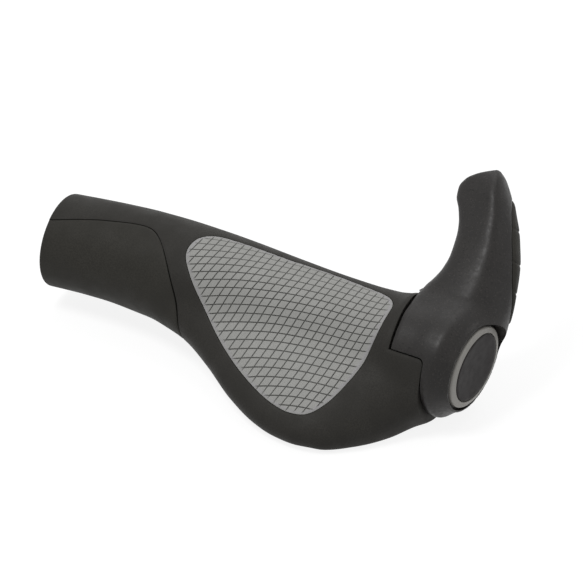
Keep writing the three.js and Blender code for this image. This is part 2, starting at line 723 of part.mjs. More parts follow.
function hornShell() {
  const earRoom = hornBox(earStart - FIT_GAP, earEnd + FIT_GAP, ringInner, earTop + FIT_GAP,
    headSeat - 0.5, threadEar + FIT_GAP);
  const access = hornRod(screwX, screwHeight, -pastWing, headEar, WASHER_DIAMETER / 2 + FIT_GAP);
  return rootBody()
    .add(hornBody())
    .subtract(hornEndTool())
    .subtract(rod(SEAM_X - 10, shellWebStart, shellBore))
    .subtract(rod(0, pastEnd, ringInner))
    .subtract(capRoom())
    .subtract(earRoom)
    .subtract(access)
    .subtract(fingerBody(-FINGER_THICKNESS - FIT_GAP, 3, FINGER_SEAM));
}

// What the grip's end takes away from the bar end, with room for it to turn forward
function hornEndTool() {
  return endTool(SECTOR_GAP, SEAM_GAP, SEAM_X - 36, 1, pastWing, ROOT_RADIUS - 0.2, STEP_GAP, TURN_ANGLE + TURN_GAP);
}

// Recess in the outboard end for the cap's head
function capRoom() {
  return turned([[recessFloor, 0], [recessFloor, recessRadius], [pastEnd, recessRadius], [pastEnd, 0]], 44, () => 1);
}

function endCap() {
  const plug = boreRadius - BAR_CLEARANCE - BAR_WALL - FIT_GAP;
  const hollowEnd = capFace - INLAY_DEPTH - CAP_FLOOR;
  return turned([
    [capBack - PLUG_LENGTH, plug - PLUG_WALL], [capBack - PLUG_LENGTH, plug], [capBack, plug],
    [capBack, CAP_RADIUS], [capFace - CAP_EDGE, CAP_RADIUS],
    [capFace - CAP_EDGE * 0.29, CAP_RADIUS - CAP_EDGE * 0.29], [capFace, CAP_RADIUS - CAP_EDGE],
    [capFace, INLAY_RADIUS + FIT_GAP], [capFace - INLAY_DEPTH, INLAY_RADIUS + FIT_GAP],
    [capFace - INLAY_DEPTH, 0], [hollowEnd, 0], [hollowEnd, plug - PLUG_WALL],
    [capBack - PLUG_LENGTH, plug - PLUG_WALL],
  ], 44, capLean);
}

function capInlay() {
  const back = capFace - INLAY_DEPTH + FIT_GAP;
  return turned([
    [back, 0], [back, INLAY_RADIUS], [capFace - 0.15, INLAY_RADIUS], [capFace, INLAY_RADIUS - 0.2], [capFace, 0],
  ], 44, capLean);
}

const looks = {
  rubber: { color: 0x3a3937, roughness: 0.75, metalness: 0 },
  rubberPanel: { color: 0x3d3c3a, roughness: 0.72, metalness: 0 },
  padRubber: { color: 0x8b8b86, roughness: 0.8, metalness: 0 },
  nylon: { color: 0x454341, roughness: 0.6, metalness: 0 },
  coreNylon: { color: 0x2b2b2b, roughness: 0.55, metalness: 0 },
  aluminium: { color: 0xa9acae, roughness: 0.4, metalness: 1 },
  steel: { color: 0x2c2d2f, roughness: 0.4, metalness: 1 },
  capGrey: { color: 0x91908b, roughness: 0.55, metalness: 0 },
  inlayBlack: { color: 0x3b3a39, roughness: 0.5, metalness: 0 },
};

const group = new THREE.Group();
group.position.x = DATUM;
function piece(name, body, look) {
  const mesh = new THREE.Mesh(toGeometry(body), new THREE.MeshStandardMaterial(looks[look]));
  mesh.name = name;
  group.add(mesh);
}

piece("grip_core", core, "coreNylon");
piece("grip_body", gripBody(), "rubber");
piece("inboard_panel", panelBody(), "rubberPanel");
piece("palm_pad", padBody(), "padRubber");
piece("horn_shell", hornShell(), "nylon");
piece("finger_pad", fingerPad(), "rubber");
piece("clamp_ring", clampRing(), "aluminium");
piece("clamp_screw", clampScrew(), "steel");
piece("clamp_washer", clampWasher(), "steel");
piece("end_cap", endCap(), "capGrey");
piece("cap_inlay", capInlay(), "inlayBlack");

export default group;
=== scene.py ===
import math

import bpy
import numpy as np
from mathutils import Matrix, Vector


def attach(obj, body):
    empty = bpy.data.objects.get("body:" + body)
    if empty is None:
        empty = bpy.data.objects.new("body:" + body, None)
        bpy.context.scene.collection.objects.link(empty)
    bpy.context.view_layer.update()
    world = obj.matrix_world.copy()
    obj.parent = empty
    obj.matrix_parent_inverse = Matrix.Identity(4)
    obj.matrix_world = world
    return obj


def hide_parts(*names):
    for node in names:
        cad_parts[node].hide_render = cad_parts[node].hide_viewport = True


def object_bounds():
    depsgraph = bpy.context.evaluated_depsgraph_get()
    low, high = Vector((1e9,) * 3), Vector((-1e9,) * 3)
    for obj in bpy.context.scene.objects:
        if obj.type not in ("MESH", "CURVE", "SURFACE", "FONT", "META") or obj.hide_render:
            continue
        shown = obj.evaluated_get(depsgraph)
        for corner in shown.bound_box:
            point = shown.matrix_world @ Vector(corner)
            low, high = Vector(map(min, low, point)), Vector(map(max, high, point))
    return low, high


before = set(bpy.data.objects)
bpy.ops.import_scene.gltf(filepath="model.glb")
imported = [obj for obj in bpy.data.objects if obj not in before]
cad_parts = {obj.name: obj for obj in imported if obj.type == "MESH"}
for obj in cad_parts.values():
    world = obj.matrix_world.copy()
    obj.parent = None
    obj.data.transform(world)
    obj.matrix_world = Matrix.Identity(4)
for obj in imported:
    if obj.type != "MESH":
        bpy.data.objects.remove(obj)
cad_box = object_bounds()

bl_info = {
    "name": "Winged handlebar grip",
    "version": (1, 0, 0),
    "blender": (4, 5, 0),
    "location": "3D View > Sidebar > Grip",
    "description": "Builds a winged handlebar grip with its bar end, pads, clamp and end cap",
    "category": "Mesh",
}

# Lengths are in millimetres, and angles in radians unless a comment says degrees. Stations count along
# the bar from the datum plane, which lies DATUM outboard of the inboard end.
MM = 0.001
DATUM = 1.1
FIT_GAP = 0.3
BORE_RADIUS = 11.15
CORE_RADIUS = 12.65
RING_INNER = 12.95
RING_OUTER = 15.25
RING_START = 128.0
RING_END = 146.0
RING_CHAMFER = 0.3
SHELL_BORE = 15.55
SHELL_WEB_START = 146.3
CORE_END = 147.3
END_SLOPE = math.tan(math.radians(6))
END_LEAN_START = 140.0
RECESS_RADIUS = 15.0
RECESS_FLOOR = CORE_END + END_SLOPE * CORE_RADIUS
CAP_BACK = RECESS_FLOOR + FIT_GAP
CAP_THICKNESS = 2.4
CAP_FACE = CAP_BACK + CAP_THICKNESS
CAP_FLOOR = 1.2
CAP_CHAMFER = 0.3
INLAY_CHAMFER = 0.15
CAP_RADIUS = 14.0
CAP_EDGE = 0.8
CAP_CROWN = 1.15
PLUG_RADIUS = 9.0
PLUG_WALL = 1.5
PLUG_LENGTH = 10.3
INLAY_RADIUS = 11.6
INLAY_DEPTH = 0.9
SCREW_X = 138.0
HEAD_EAR = -4.2
THREAD_EAR = 6.5
EAR_SLIT = 1.5
EAR_WIDTH = 12.0
SLOT_WIDTH = 1.6
SLOT_REACH = 14.0
SCREW_RADIUS = 2.5
WASHER_RADIUS = 4.8
WASHER_THICKNESS = 0.8
SCREW_HEAD_RADIUS = 4.25
SCREW_HEAD_LENGTH = 4.5
HEX_SOCKET = 4.0
HEX_DEPTH = 2.4
SCREW_HEIGHT = math.sqrt((RING_OUTER + FIT_GAP) ** 2 - HEAD_EAR ** 2) + WASHER_RADIUS
EAR_OVER_SCREW = 1.5
EAR_TOP = SCREW_HEIGHT + SCREW_RADIUS + EAR_OVER_SCREW
HEAD_SEAT = HEAD_EAR - 2 * FIT_GAP - WASHER_THICKNESS
ROOT_RADIUS = 18.9
ROOT_END_X = 150.3
LIP_START = ROOT_END_X - 0.6
RIM_ROUND = 1.2
SEAM_X = 125.7
SEAM_TILT = math.tan(math.radians(5.7)) * 17
SEAM_TURN = math.radians(150)
SEAM_GAP = 0.9
SECTOR_X = 140.5
SECTOR_GAP = 0.5
STEP_ANGLE = math.radians(151.5)
SECTOR_END_ANGLE = math.radians(285)
STEP_ROUND = 2.0
STEP_GAP = math.radians(1.6)
STEP_STEPS = 12
LINE_STEPS = 96
SHELL_CUT_START = SEAM_X - 36
SHELL_START = SEAM_X - 4
TURN_ROOM = math.radians(22)
TOP_ANGLE = math.radians(52.5)
WEB_START = 56.0
WEB_END = 118.0
WEB_THICKNESS = 3.0
WEB_COVER = 7.0
HORN_LENGTH = 62.8
HORN_UP = np.array([0, math.sqrt(0.5), math.sqrt(0.5)])
HORN_BACK = np.array([0, -math.sqrt(0.5), math.sqrt(0.5)])
FINGER_MEAN = 12.0
PAD_THICKNESS = 1.6
PANEL_THICKNESS = 1.2
FINGER_THICKNESS = 1.8
FINGER_PROUD = 0.5
FINGER_GROOVES = (27, 36, 46.3)
FORM_BLEND = 3.0
PAST_END = CAP_FACE + 8
PAST_WING = 60.0
ROOT_MEAN = 17.5
# Where the seams' soft edges stop: a radius, a station, and a height with an angle on the horn
HORN_CLEAR = 21.5
END_NEAR = 115
FINGER_BAND = (12, 0.6)
FAR = 99.0
SHELL_GRAIN = 0.6
SHARP_ANGLE = math.radians(32)
# Exponents of the rounded sections: handle with wing, wing, horn, and the horn's soft facets
SKIN_POWER = 7
WING_POWER = 2.5
HORN_POWER = 2.6
FACET_POWER = 9
# Soft edges, as width and depth
PAD_BANK = (0.9, 0.22)
PANEL_BANK = (0.8, 0.22)
END_BANK = (1.1, 0.4)
PAD_RIM = (0.9, 0.3)
SHELL_BANK = (1.0, 0.35)
POCKET_BANK = (0.8, 0.25)
FINGER_RIM = (1.2, 0.5)


def curve(rows):
    """Smooth curve through a few real sizes: monotone cubic through rows of (station, size)."""
    stations, sizes = np.array(rows, float).T
    slope = np.diff(sizes) / np.diff(stations)
    product = slope[:-1] * slope[1:]
    total = np.where(product > 0, slope[:-1] + slope[1:], 1.0)
    inner = np.where(product > 0, 2 * product / total, 0.0)
    tangent = np.concatenate([[slope[0]], inner, [slope[-1]]])

    def size_at(x):
        x = np.asarray(x, float)
        i = np.clip(np.searchsorted(stations, x, side="left") - 1, 0, len(rows) - 2)
        width = stations[i + 1] - stations[i]
        t = np.clip((x - stations[i]) / width, 0, 1)
        a = 2 * t ** 3 - 3 * t ** 2 + 1
        b = t ** 3 - 2 * t ** 2 + t
        d = t ** 3 - t ** 2
        return a * sizes[i] + b * width * tangent[i] + (1 - a) * sizes[i + 1] + d * width * tangent[i + 1]

    return size_at


def weights(knots, values):
    """Share of each knot in a natural cubic spline through them, at every value."""
    knots = np.array(knots, float)
    n = len(knots)
    step = np.diff(knots)
    bend = np.eye(n)
    push = np.zeros((n, n))
    for i in range(1, n - 1):
        bend[i, i - 1:i + 2] = step[i - 1], 2 * (step[i - 1] + step[i]), step[i]
        push[i, i - 1:i + 2] = 6 / step[i - 1], -6 / step[i - 1] - 6 / step[i], 6 / step[i]
    second = np.linalg.solve(bend, push)
    i = np.clip(np.searchsorted(knots, values) - 1, 0, n - 2)
    width = step[i]
    b = (values - knots[i]) / width
    a = 1 - b
    unit = np.eye(n)
    curved = ((a ** 3 - a) * width ** 2 / 6)[..., None] * second[i]
    curved = curved + ((b ** 3 - b) * width ** 2 / 6)[..., None] * second[i + 1]
    return a[..., None] * unit[i] + b[..., None] * unit[i + 1] + curved


# Radius of the handle on its upper front and its lower rear side
handle_top = curve([
    (0, 15.45), (10, 16.5), (20, 17.4), (30, 18.05), (42, 18.3), (54, 18.1), (65, 17.65), (83, 16.55),
    (100, 15.75), (110, 15.6), (118, 15.9), (123, 16.75), (126, 17.75), (134, 18.1), (142, 18.4),
])
handle_low = curve([
    (0, 15.45), (12, 14.8), (20, 14.65), (36, 15.3), (110, 15.6), (123, 16.45), (134, 17.3), (142, 17.7),
])
# Reach of the palm wing from the bar axis, its half thickness and its droop in degrees
wing_reach = curve([
    (0, 7.725), (24, 8.5), (34, 12), (43.8, 16.5), (54.6, 20.8), (67, 28.3), (80, 37.3), (92, 43.4),
    (100, 45.7), (107, 46.4), (115, 45.2), (124.5, 39.1), (132.4, 30.7), (137, 24.4), (142, 19.4),
])
wing_half = curve([(0, 6), (30, 7.02), (60, 9), (120, 9.5), (135, 11), (142, 13)])
wing_droop = curve([(0, 22), (110, 22), (124.5, 27), (132.4, 34), (137, 39), (142, 42)])


def oval(g, a, b, power):
    """Radius of a squared-off oval with half axes a and b."""
    return ((np.abs(np.cos(g)) / a) ** power + (np.abs(np.sin(g)) / b) ** power) ** (-1 / power)


def skin_radius(x, phi):
    """Radius of the grip's skin: a round handle blended with a flat wing."""
    mean = (handle_top(x) + handle_low(x)) / 2
    lean = (handle_top(x) - handle_low(x)) / 2
    handle = mean + lean * np.cos(phi - TOP_ANGLE)
    g = phi - math.pi - np.radians(wing_droop(x))
    half = wing_half(x)
    reach = np.where(np.cos(g) > 0, wing_reach(x), half)
    wing = oval(g, reach, half, WING_POWER)
    return (handle ** SKIN_POWER + wing ** SKIN_POWER) ** (1 / SKIN_POWER)


def skin_point(x, phi):
    """Point of the skin at station x and angle phi."""
    r = skin_radius(x, phi)
    return np.stack(np.broadcast_arrays(x, r * np.cos(phi), r * np.sin(phi)), -1)


def skin_offset(x, phi, offset):
    """Points on the skin, moved along its outward normal."""
    step = 0.02
    point = skin_point(x, phi)
    along = skin_point(x + step, phi) - point
    around = skin_point(x, phi + step / 10) - point
    normal = np.cross(around, along)
    normal /= np.linalg.norm(normal, axis=-1, keepdims=True)
    outward = normal[..., 1] * np.cos(phi) + normal[..., 2] * np.sin(phi)
    normal *= np.sign(outward)[..., None]
    return point + normal * np.asarray(offset)[..., None]


def rim_drop(x):
    """How far the rounded rim of the inboard end lies inside the skin."""
    depth = np.clip(RIM_ROUND - (x + DATUM), 0, RIM_ROUND)
    return RIM_ROUND - np.sqrt(RIM_ROUND ** 2 - depth ** 2)


# Lengths round the section at fine stations, counted from the top direction
X_STEP = 0.5
S_STEP = 0.25
TURNS = 720
table_x = np.arange(-1.5, 142.6, X_STEP)
table_phi = TOP_ANGLE + np.linspace(0, 2 * math.pi, TURNS + 1)
table_points = skin_point(table_x[:, None], table_phi[None, :])
table_steps = np.linalg.norm(np.diff(table_points, axis=1), axis=2)
table_arc = np.concatenate([np.zeros((len(table_x), 1)), np.cumsum(table_steps, axis=1)], axis=1)
table_s = np.arange(0, 200, S_STEP)
table_angle = np.array([np.interp(table_s, arc, table_phi) for arc in table_arc])
# Row whose section length stands for the outboard end's
END_ROW = -40


def row_of(x):
    """Row of the section tables below station x."""
    return np.clip(((x - table_x[0]) / X_STEP).astype(int), 0, len(table_x) - 2)


def angle_of(x, s):
    """Angle of the skin point at station x and length s round the section."""
    x, s = np.broadcast_arrays(np.asarray(x, float), np.asarray(s, float))
    i = row_of(x)
    j = np.clip((s / S_STEP).astype(int), 0, len(table_s) - 2)
    u = (x - table_x[i]) / X_STEP
    v = (s - table_s[j]) / S_STEP
    low = table_angle[i, j] * (1 - v) + table_angle[i, j + 1] * v
    high = table_angle[i + 1, j] * (1 - v) + table_angle[i + 1, j + 1] * v
    return low * (1 - u) + high * u


def arc_of(x, phi):
    """Length round the section at station x up to the angle phi."""
    turn = np.mod(phi - TOP_ANGLE, 2 * math.pi) / (2 * math.pi) * TURNS
    i = row_of(x)
    j = np.clip(turn.astype(int), 0, TURNS - 1)
    v = turn - j
    return table_arc[i, j] * (1 - v) + table_arc[i, j + 1] * v


def on_skin(x, s, offset):
    """Point of the skin at station x and length s round the section, moved by the offset."""
    return skin_offset(x, angle_of(x, s), offset)


def smooth_line(points, closed=True, samples=10):
    """Centripetal spline through a few points, as a fine polygon or line."""
    p = np.array(points, float)
    if closed:
        p = np.concatenate([p[-1:], p, p[:2]])
    else:
        p = np.concatenate([2 * p[:1] - p[1:2], p, 2 * p[-1:] - p[-2:-1]])
    t = np.linspace(0, 1, samples, endpoint=False)[:, None]
    line = []
    for a, b, c, d in zip(p[:-3], p[1:-2], p[2:-1], p[3:]):
        before, middle, after = [max(np.linalg.norm(v), 1e-6) ** 0.5 for v in (b - a, c - b, d - c)]
        start = ((b - a) / before - (c - a) / (before + middle) + (c - b) / middle) * middle
        end = ((c - b) / middle - (d - b) / (middle + after) + (d - c) / after) * middle
        square = 3 * (c - b) - 2 * start - end
        cube = 2 * (b - c) + start + end
        line.append(b + start * t + square * t ** 2 + cube * t ** 3)
    line = np.concatenate(line)
    return line if closed else np.concatenate([line, p[-2:-1]])


def grown(polygon, distance):
    """Polygon with every side moved outward by a distance, one for all or one a corner."""
    following = np.roll(polygon, -1, axis=0)
    after = following - polygon
    side = np.sign(np.sum(polygon[:, 0] * following[:, 1] - polygon[:, 1] * following[:, 0]))
    length = np.linalg.norm(after, axis=1, keepdims=True)
    normal = side * np.stack([after[:, 1], -after[:, 0]], -1) / length
    before = np.roll(normal, 1, axis=0)
    spread = np.maximum(0.35, 1 + np.sum(before * normal, axis=1, keepdims=True))
    return polygon + np.reshape(distance, (-1, 1)) / spread * (before + normal)


def line_distance(points, line):
    """Distance of each point from a line of short straight pieces."""
    a = line[:-1]
    ab = line[1:] - a
    size = np.maximum(np.sum(ab * ab, axis=1), 1e-12)
    nearest = np.empty(len(points))
    for k in range(0, len(points), 4000):
        ap = points[k:k + 4000, None, :] - a[None]
        t = np.clip(np.sum(ap * ab, axis=2) / size, 0, 1)
        gap = ap - t[..., None] * ab
        nearest[k:k + 4000] = np.sqrt(np.min(np.sum(gap * gap, axis=2), axis=1))
    return nearest


def within(points, polygon):
    """Whether each point lies inside the polygon."""
    inside = np.zeros(len(points), bool)
    x, y = points.T
    for (ax, ay), (bx, by) in zip(polygon, np.roll(polygon, -1, axis=0)):
        crosses = (ay > y) != (by > y)
        with np.errstate(divide="ignore", invalid="ignore"):
            at = ax + (y - ay) * (bx - ax) / (by - ay)
        inside ^= crosses & (x < at)
    return inside


def edge_depth(x, s, polygon):
    """Distance inside the polygon, negative outside it."""
    shape = np.broadcast(x, s).shape
    points = np.stack(np.broadcast_arrays(x, s), -1).reshape(-1, 2).astype(float)
    distance = line_distance(points, np.concatenate([polygon, polygon[:1]]))
    return np.where(within(points, polygon), distance, -distance).reshape(shape)


def softened(distance, edge):
    """How far a surface falls away towards an edge, so that the edge is rounded."""
    width, depth = edge
    return depth * np.clip(1 - distance / width, 0, 1) ** 2


def mesh_body(name, points, faces):
    """Adds a mesh whose points are in millimetres from the datum, for cutting and joining."""
    mesh = bpy.data.meshes.new(name)
    mesh.from_pydata(np.asarray(points).reshape(-1, 3).tolist(), [], faces)
    mesh.update()
    body = bpy.data.objects.new(name, mesh)
    bpy.context.scene.collection.objects.link(body)
    if volume_of(mesh) < 0:
        mesh.flip_normals()
    return body


def volume_of(mesh):
    """Signed volume, which is negative when the faces look inward."""
    mesh.calc_loop_triangles()
    corners = np.empty(len(mesh.vertices) * 3)
    mesh.vertices.foreach_get("co", corners)
    triangles = np.empty(len(mesh.loop_triangles) * 3, np.int32)
    mesh.loop_triangles.foreach_get("vertices", triangles)
    a, b, c = corners.reshape(-1, 3)[triangles.reshape(-1, 3)].transpose(1, 0, 2)
    return float(np.sum(a * np.cross(b, c)) / 6)


def band(m, n, closed=False):
    """Faces between m rings of n points each, the last ring joined to the first if closed."""
    return [(i * n + j, i * n + (j + 1) % n, (i + 1) % m * n + (j + 1) % n, (i + 1) % m * n + j)
            for i in range(m if closed else m - 1) for j in range(n)]


def loft(name, rings, centres=None):
    """Closed body from rings of points, its two ends closed by fans."""
    m, n = rings.shape[:2]
    faces = band(m, n)
    for j in range(n):
        k = (j + 1) % n
        faces.append((m * n, k, j))
        faces.append((m * n + 1, (m - 1) * n + j, (m - 1) * n + k))
    if centres is None:
        centres = [rings[0].mean(axis=0), rings[-1].mean(axis=0)]
    return mesh_body(name, np.concatenate([rings.reshape(-1, 3), centres]), faces)


def hoop(name, sections):
    """Ring-shaped body: a closed row of closed sections."""
    return mesh_body(name, sections, band(*sections.shape[:2], closed=True))


def leaned(points, share):
    """Leans points about the bar axis: their upper front side moves outboard, by a share for each."""
    return points + (share * END_SLOPE * height_above(points))[..., None] * np.array([1.0, 0, 0])


def height_above(points):
    """Distance of points from the bar axis towards the grip's upper front side."""
    return points[..., 1] * math.cos(TOP_ANGLE) + points[..., 2] * math.sin(TOP_ANGLE)


def root_lean(x):
    """Share of the lean along the root of the bar end."""
    t = np.clip((x - END_LEAN_START) / (LIP_START - END_LEAN_START), 0, 1)
    return t * t * (3 - 2 * t)


def turned(name, profile, segments=128, lean=None):
    """Round body about the bar axis from a profile of (x, radius) that starts and ends on the axis."""
    profile = np.array(profile, float)
    angles = np.linspace(0, 2 * math.pi, segments, endpoint=False)
    x, r = profile[1:-1].T[..., None]
    rings = np.stack(np.broadcast_arrays(x, r * np.cos(angles), r * np.sin(angles)), -1)
    if lean:
        rings = leaned(rings, lean(rings[..., 0]))
    return loft(name, rings, np.array([[profile[0][0], 0, 0], [profile[-1][0], 0, 0]]))


def rod(x0, x1, radius, segments=128):
    """Plain round body about the bar axis."""
    return turned("rod", [(x0, 0), (x0, radius), (x1, radius), (x1, 0)], segments)


def turned_ring(name, profile, segments=128):
    """Round body with a hole, from a closed profile of (x, radius)."""
    angles = np.linspace(0, 2 * math.pi, segments, endpoint=False)[:, None]
    x, r = np.array(profile, float).T
    return hoop(name, np.stack(np.broadcast_arrays(x, r * np.cos(angles), r * np.sin(angles)), -1))


def block(xs, us, vs, u_axis, v_axis):
    """Box from its first and last station and its limits along two axes."""
    points = [np.array([x, 0, 0]) + u * u_axis + v * v_axis for x in xs for u in us for v in vs]
    faces = [(0, 1, 3, 2), (4, 6, 7, 5), (0, 4, 5, 1), (2, 3, 7, 6), (0, 2, 6, 4), (1, 5, 7, 3)]
    return mesh_body("block", points, faces)


def horn_box(xs, heights, depths):
    """Box in the frame of the bar end: heights along the horn, depths square to it towards the rider."""
    return block(xs, heights, depths, HORN_UP, HORN_BACK)


def horn_rod(p0, p1, radius, segments=64, name="rod", chamfer=0.0):
    """Round body along the clamp screw's line, with chamfered ends."""
    angles = np.linspace(0, 2 * math.pi, segments, endpoint=False)
    ends = [(p0, radius), (p1, radius)]
    if chamfer:
        low = radius - chamfer
        ends = [(p0, low), (p0 + chamfer, radius), (p1 - chamfer, radius), (p1, low)]
    rings = []
    for p, r in ends:
        height = SCREW_HEIGHT + r * np.sin(angles)
        x = SCREW_X + r * np.cos(angles)
        rings.append(np.stack([x, 0 * x, 0 * x], -1) + height[:, None] * HORN_UP + p * HORN_BACK)
    return loft(name, np.array(rings))


def combine(body, tool, operation="DIFFERENCE"):
    """Cuts, joins or crops a body by a tool, which is used up."""
    modifier = body.modifiers.new("tool", "BOOLEAN")
    modifier.operation = operation
    modifier.solver = "MANIFOLD"
    modifier.object = tool
    mesh = evaluated(body)
    if not mesh.polygons:
        raise RuntimeError(f"nothing is left of {body.name} after {tool.name}")
    bpy.data.objects.remove(tool)
    return body


def evaluated(body):
    """Applies the body's modifiers and returns its new mesh."""
    depsgraph = bpy.context.evaluated_depsgraph_get()
    mesh = bpy.data.meshes.new_from_object(body.evaluated_get(depsgraph))
    body.modifiers.clear()
    old = body.data
    body.data = mesh
    bpy.data.meshes.remove(old)
    return mesh


def finish_piece(body, name, material, carrier, node):
    """Scales a piece to metres, shades it and sets what it rides on and stands for."""
    mesh = body.data
    mesh.transform(Matrix.Scale(MM, 4) @ Matrix.Translation((DATUM, 0, 0)))
    mesh.materials.clear()
    mesh.materials.append(material)
    mesh.shade_smooth()
    mesh.set_sharp_from_angle(angle=SHARP_ANGLE)
    mesh.validate()
    body.name = name
    mesh.name = name
    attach(body, carrier)
    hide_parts(node)


def plate(name, polygon, place, inner, outer, columns, rows):
    """Plate that follows a surface inside an outline. inner and outer give the offset at (u, v)."""
    first, last = polygon[:, 0].min(), polygon[:, 0].max()
    share = (1 - np.cos(math.pi * (np.arange(columns + 1) + 0.35) / (columns + 0.7))) / 2
    us = first + (last - first) * share
    a = polygon
    b = np.roll(polygon, -1, axis=0)
    lows, highs = [], []
    for u in us:
        hit = (np.minimum(a[:, 0], b[:, 0]) <= u) & (np.maximum(a[:, 0], b[:, 0]) > u)
        v = a[hit, 1] + (b[hit, 1] - a[hit, 1]) * (u - a[hit, 0]) / (b[hit, 0] - a[hit, 0])
        lows.append(v.min())
        highs.append(v.max())
    t = np.linspace(0, 1, rows + 1)
    u = np.repeat(us[:, None], rows + 1, axis=1)
    v = np.array(lows)[:, None] * (1 - t) + np.array(highs)[:, None] * t
    top = place(u, v, outer(u, v))
    low = place(u, v, inner(u, v))
    rings = np.concatenate([top, low[:, ::-1]], axis=1)
    m, n = rings.shape[:2]
    faces = band(m, n)
    for j in range(rows):
        faces.append((j, n - 1 - j, n - 2 - j, j + 1))
        last_ring = (m - 1) * n
        faces.append((last_ring + j, last_ring + j + 1, last_ring + n - 2 - j, last_ring + n - 1 - j))
    return mesh_body(name, rings, faces)


def constant(value):
    """The same offset at every point of a plate."""
    return lambda u, v: np.full(np.shape(u), float(value))


# Outlines on the skin, as (station, length round the section from the top line)
pad_outline = smooth_line([
    (50.2, 13.5), (49.4, 20), (53, 26), (61.5, 35.5), (71, 43.3), (84, 51.2), (96, 56.3), (104.4, 57.8),
    (110.5, 56.4), (115, 51), (118.4, 41.6), (120.8, 31), (122.4, 20), (122.2, 13.8), (118.5, 9.4),
    (108, 6.6), (95, 5.6), (80, 6.8), (65, 7.6), (54.5, 9.4),
])
PANEL_START = 0.1 - DATUM
panel_outline = smooth_line([
    (PANEL_START, 19.5), (7.6, 17.7), (14, 16.5), (21, 15.6), (28, 14.9), (32.5, 14.9), (35.5, 15.9),
    (39.3, 19), (43.1, 23.7), (47.4, 30.9), (51.1, 38.8), (53.6, 48.4), (54.2, 57), (52, 67),
    (46.5, 75.5), (39, 81.5), (30, 84), (15, 84), (PANEL_START, 83.5),
], closed=False)
finger_outline = smooth_line([
    (t, math.radians(angle) * FINGER_MEAN) for t, angle in [
        (17.5, -22), (17.5, -31), (22, -42), (27, -62), (33, -88), (40, -104), (47, -108), (52, -92),
        (54.6, -55), (55.2, -22), (52, -4), (45, 7), (38, 9), (31, 3), (24, -9),
    ]
])


def seam_at(phi):
    """Station of the tilted seam above the step."""
    return SEAM_X + SEAM_TILT * np.cos(phi - SEAM_TURN)


def end_line(sector_gap, seam_gap, early, late):
    """Angles and stations of the grip's outboard end, shifted by the gaps of the mating part."""
    share = np.linspace(0, 1, STEP_STEPS) ** 2
    from_step = share * STEP_ROUND
    rise = np.sqrt(np.maximum(0, STEP_ROUND ** 2 - (STEP_ROUND - from_step) ** 2))
    corner = STEP_ANGLE + from_step / ROOT_RADIUS - early + 1e-4
    straight = np.linspace(corner[-1] + 0.01, SECTOR_END_ANGLE + late - 1e-4, LINE_STEPS)
    above = np.linspace(SECTOR_END_ANGLE + late, STEP_ANGLE - early + 2 * math.pi, 2 * LINE_STEPS)
    phis = np.concatenate([corner, straight, above])
    xs = np.concatenate([
        SECTOR_X - STEP_ROUND + rise + sector_gap, np.full(LINE_STEPS, SECTOR_X + sector_gap),
        seam_at(above) + seam_gap,
    ])
    return phis, xs, np.arange(len(phis)) < len(corner) + LINE_STEPS


def end_tool(sector_gap, seam_gap, far, inner, low_outer, seam_outer, early, late):
    """Hoop-shaped cutter whose near end follows the grip's end line."""
    phis, xs, lower = end_line(sector_gap, seam_gap, early, late)
    outer = np.where(lower, low_outer, seam_outer)
    c, s = np.cos(phis), np.sin(phis)
    corner = lambda x, r: np.stack(np.broadcast_arrays(x, r * c, r * s), -1)
    sections = np.stack([corner(xs, inner), corner(xs, outer), corner(far, outer), corner(far, inner)], 1)
    return hoop("end_tool", sections)


def web(clearance):
    """Flat web of the sleeve that stiffens the wing."""
    x = WEB_START - clearance + (WEB_END - WEB_START + 2 * clearance) * np.linspace(0, 1, 41)
    tip = np.maximum(CORE_RADIUS + 1, wing_reach(x) - WEB_COVER) + 1.6 * clearance
    angle = math.pi + np.radians(wing_droop(x))
    along = np.stack([0 * x, np.cos(angle), np.sin(angle)], -1)
    across = np.stack([0 * x, -np.sin(angle), np.cos(angle)], -1)
    half = WEB_THICKNESS / 2 + clearance
    base = np.stack([x, 0 * x, 0 * x], -1)
    near = np.full(len(x), CORE_RADIUS - 1)
    edge = tip - WEB_THICKNESS / 3
    rows = [(near, -half), (edge, -half), (tip, 0), (edge, half), (near, half)]
    rings = np.stack([base + along * a[:, None] + across * b for a, b in rows], 1)
    return loft("web", rings)


def panel_seam(sizes):
    """Width of the gap round the panel: narrow on top, wider where it runs under the hand."""
    under = np.clip((panel_outline[:, 1] - 20) / 16, 0, 1)
    return sizes.seam_top / MM + (sizes.seam_under - sizes.seam_top) / MM * under ** 2 * (3 - 2 * under)


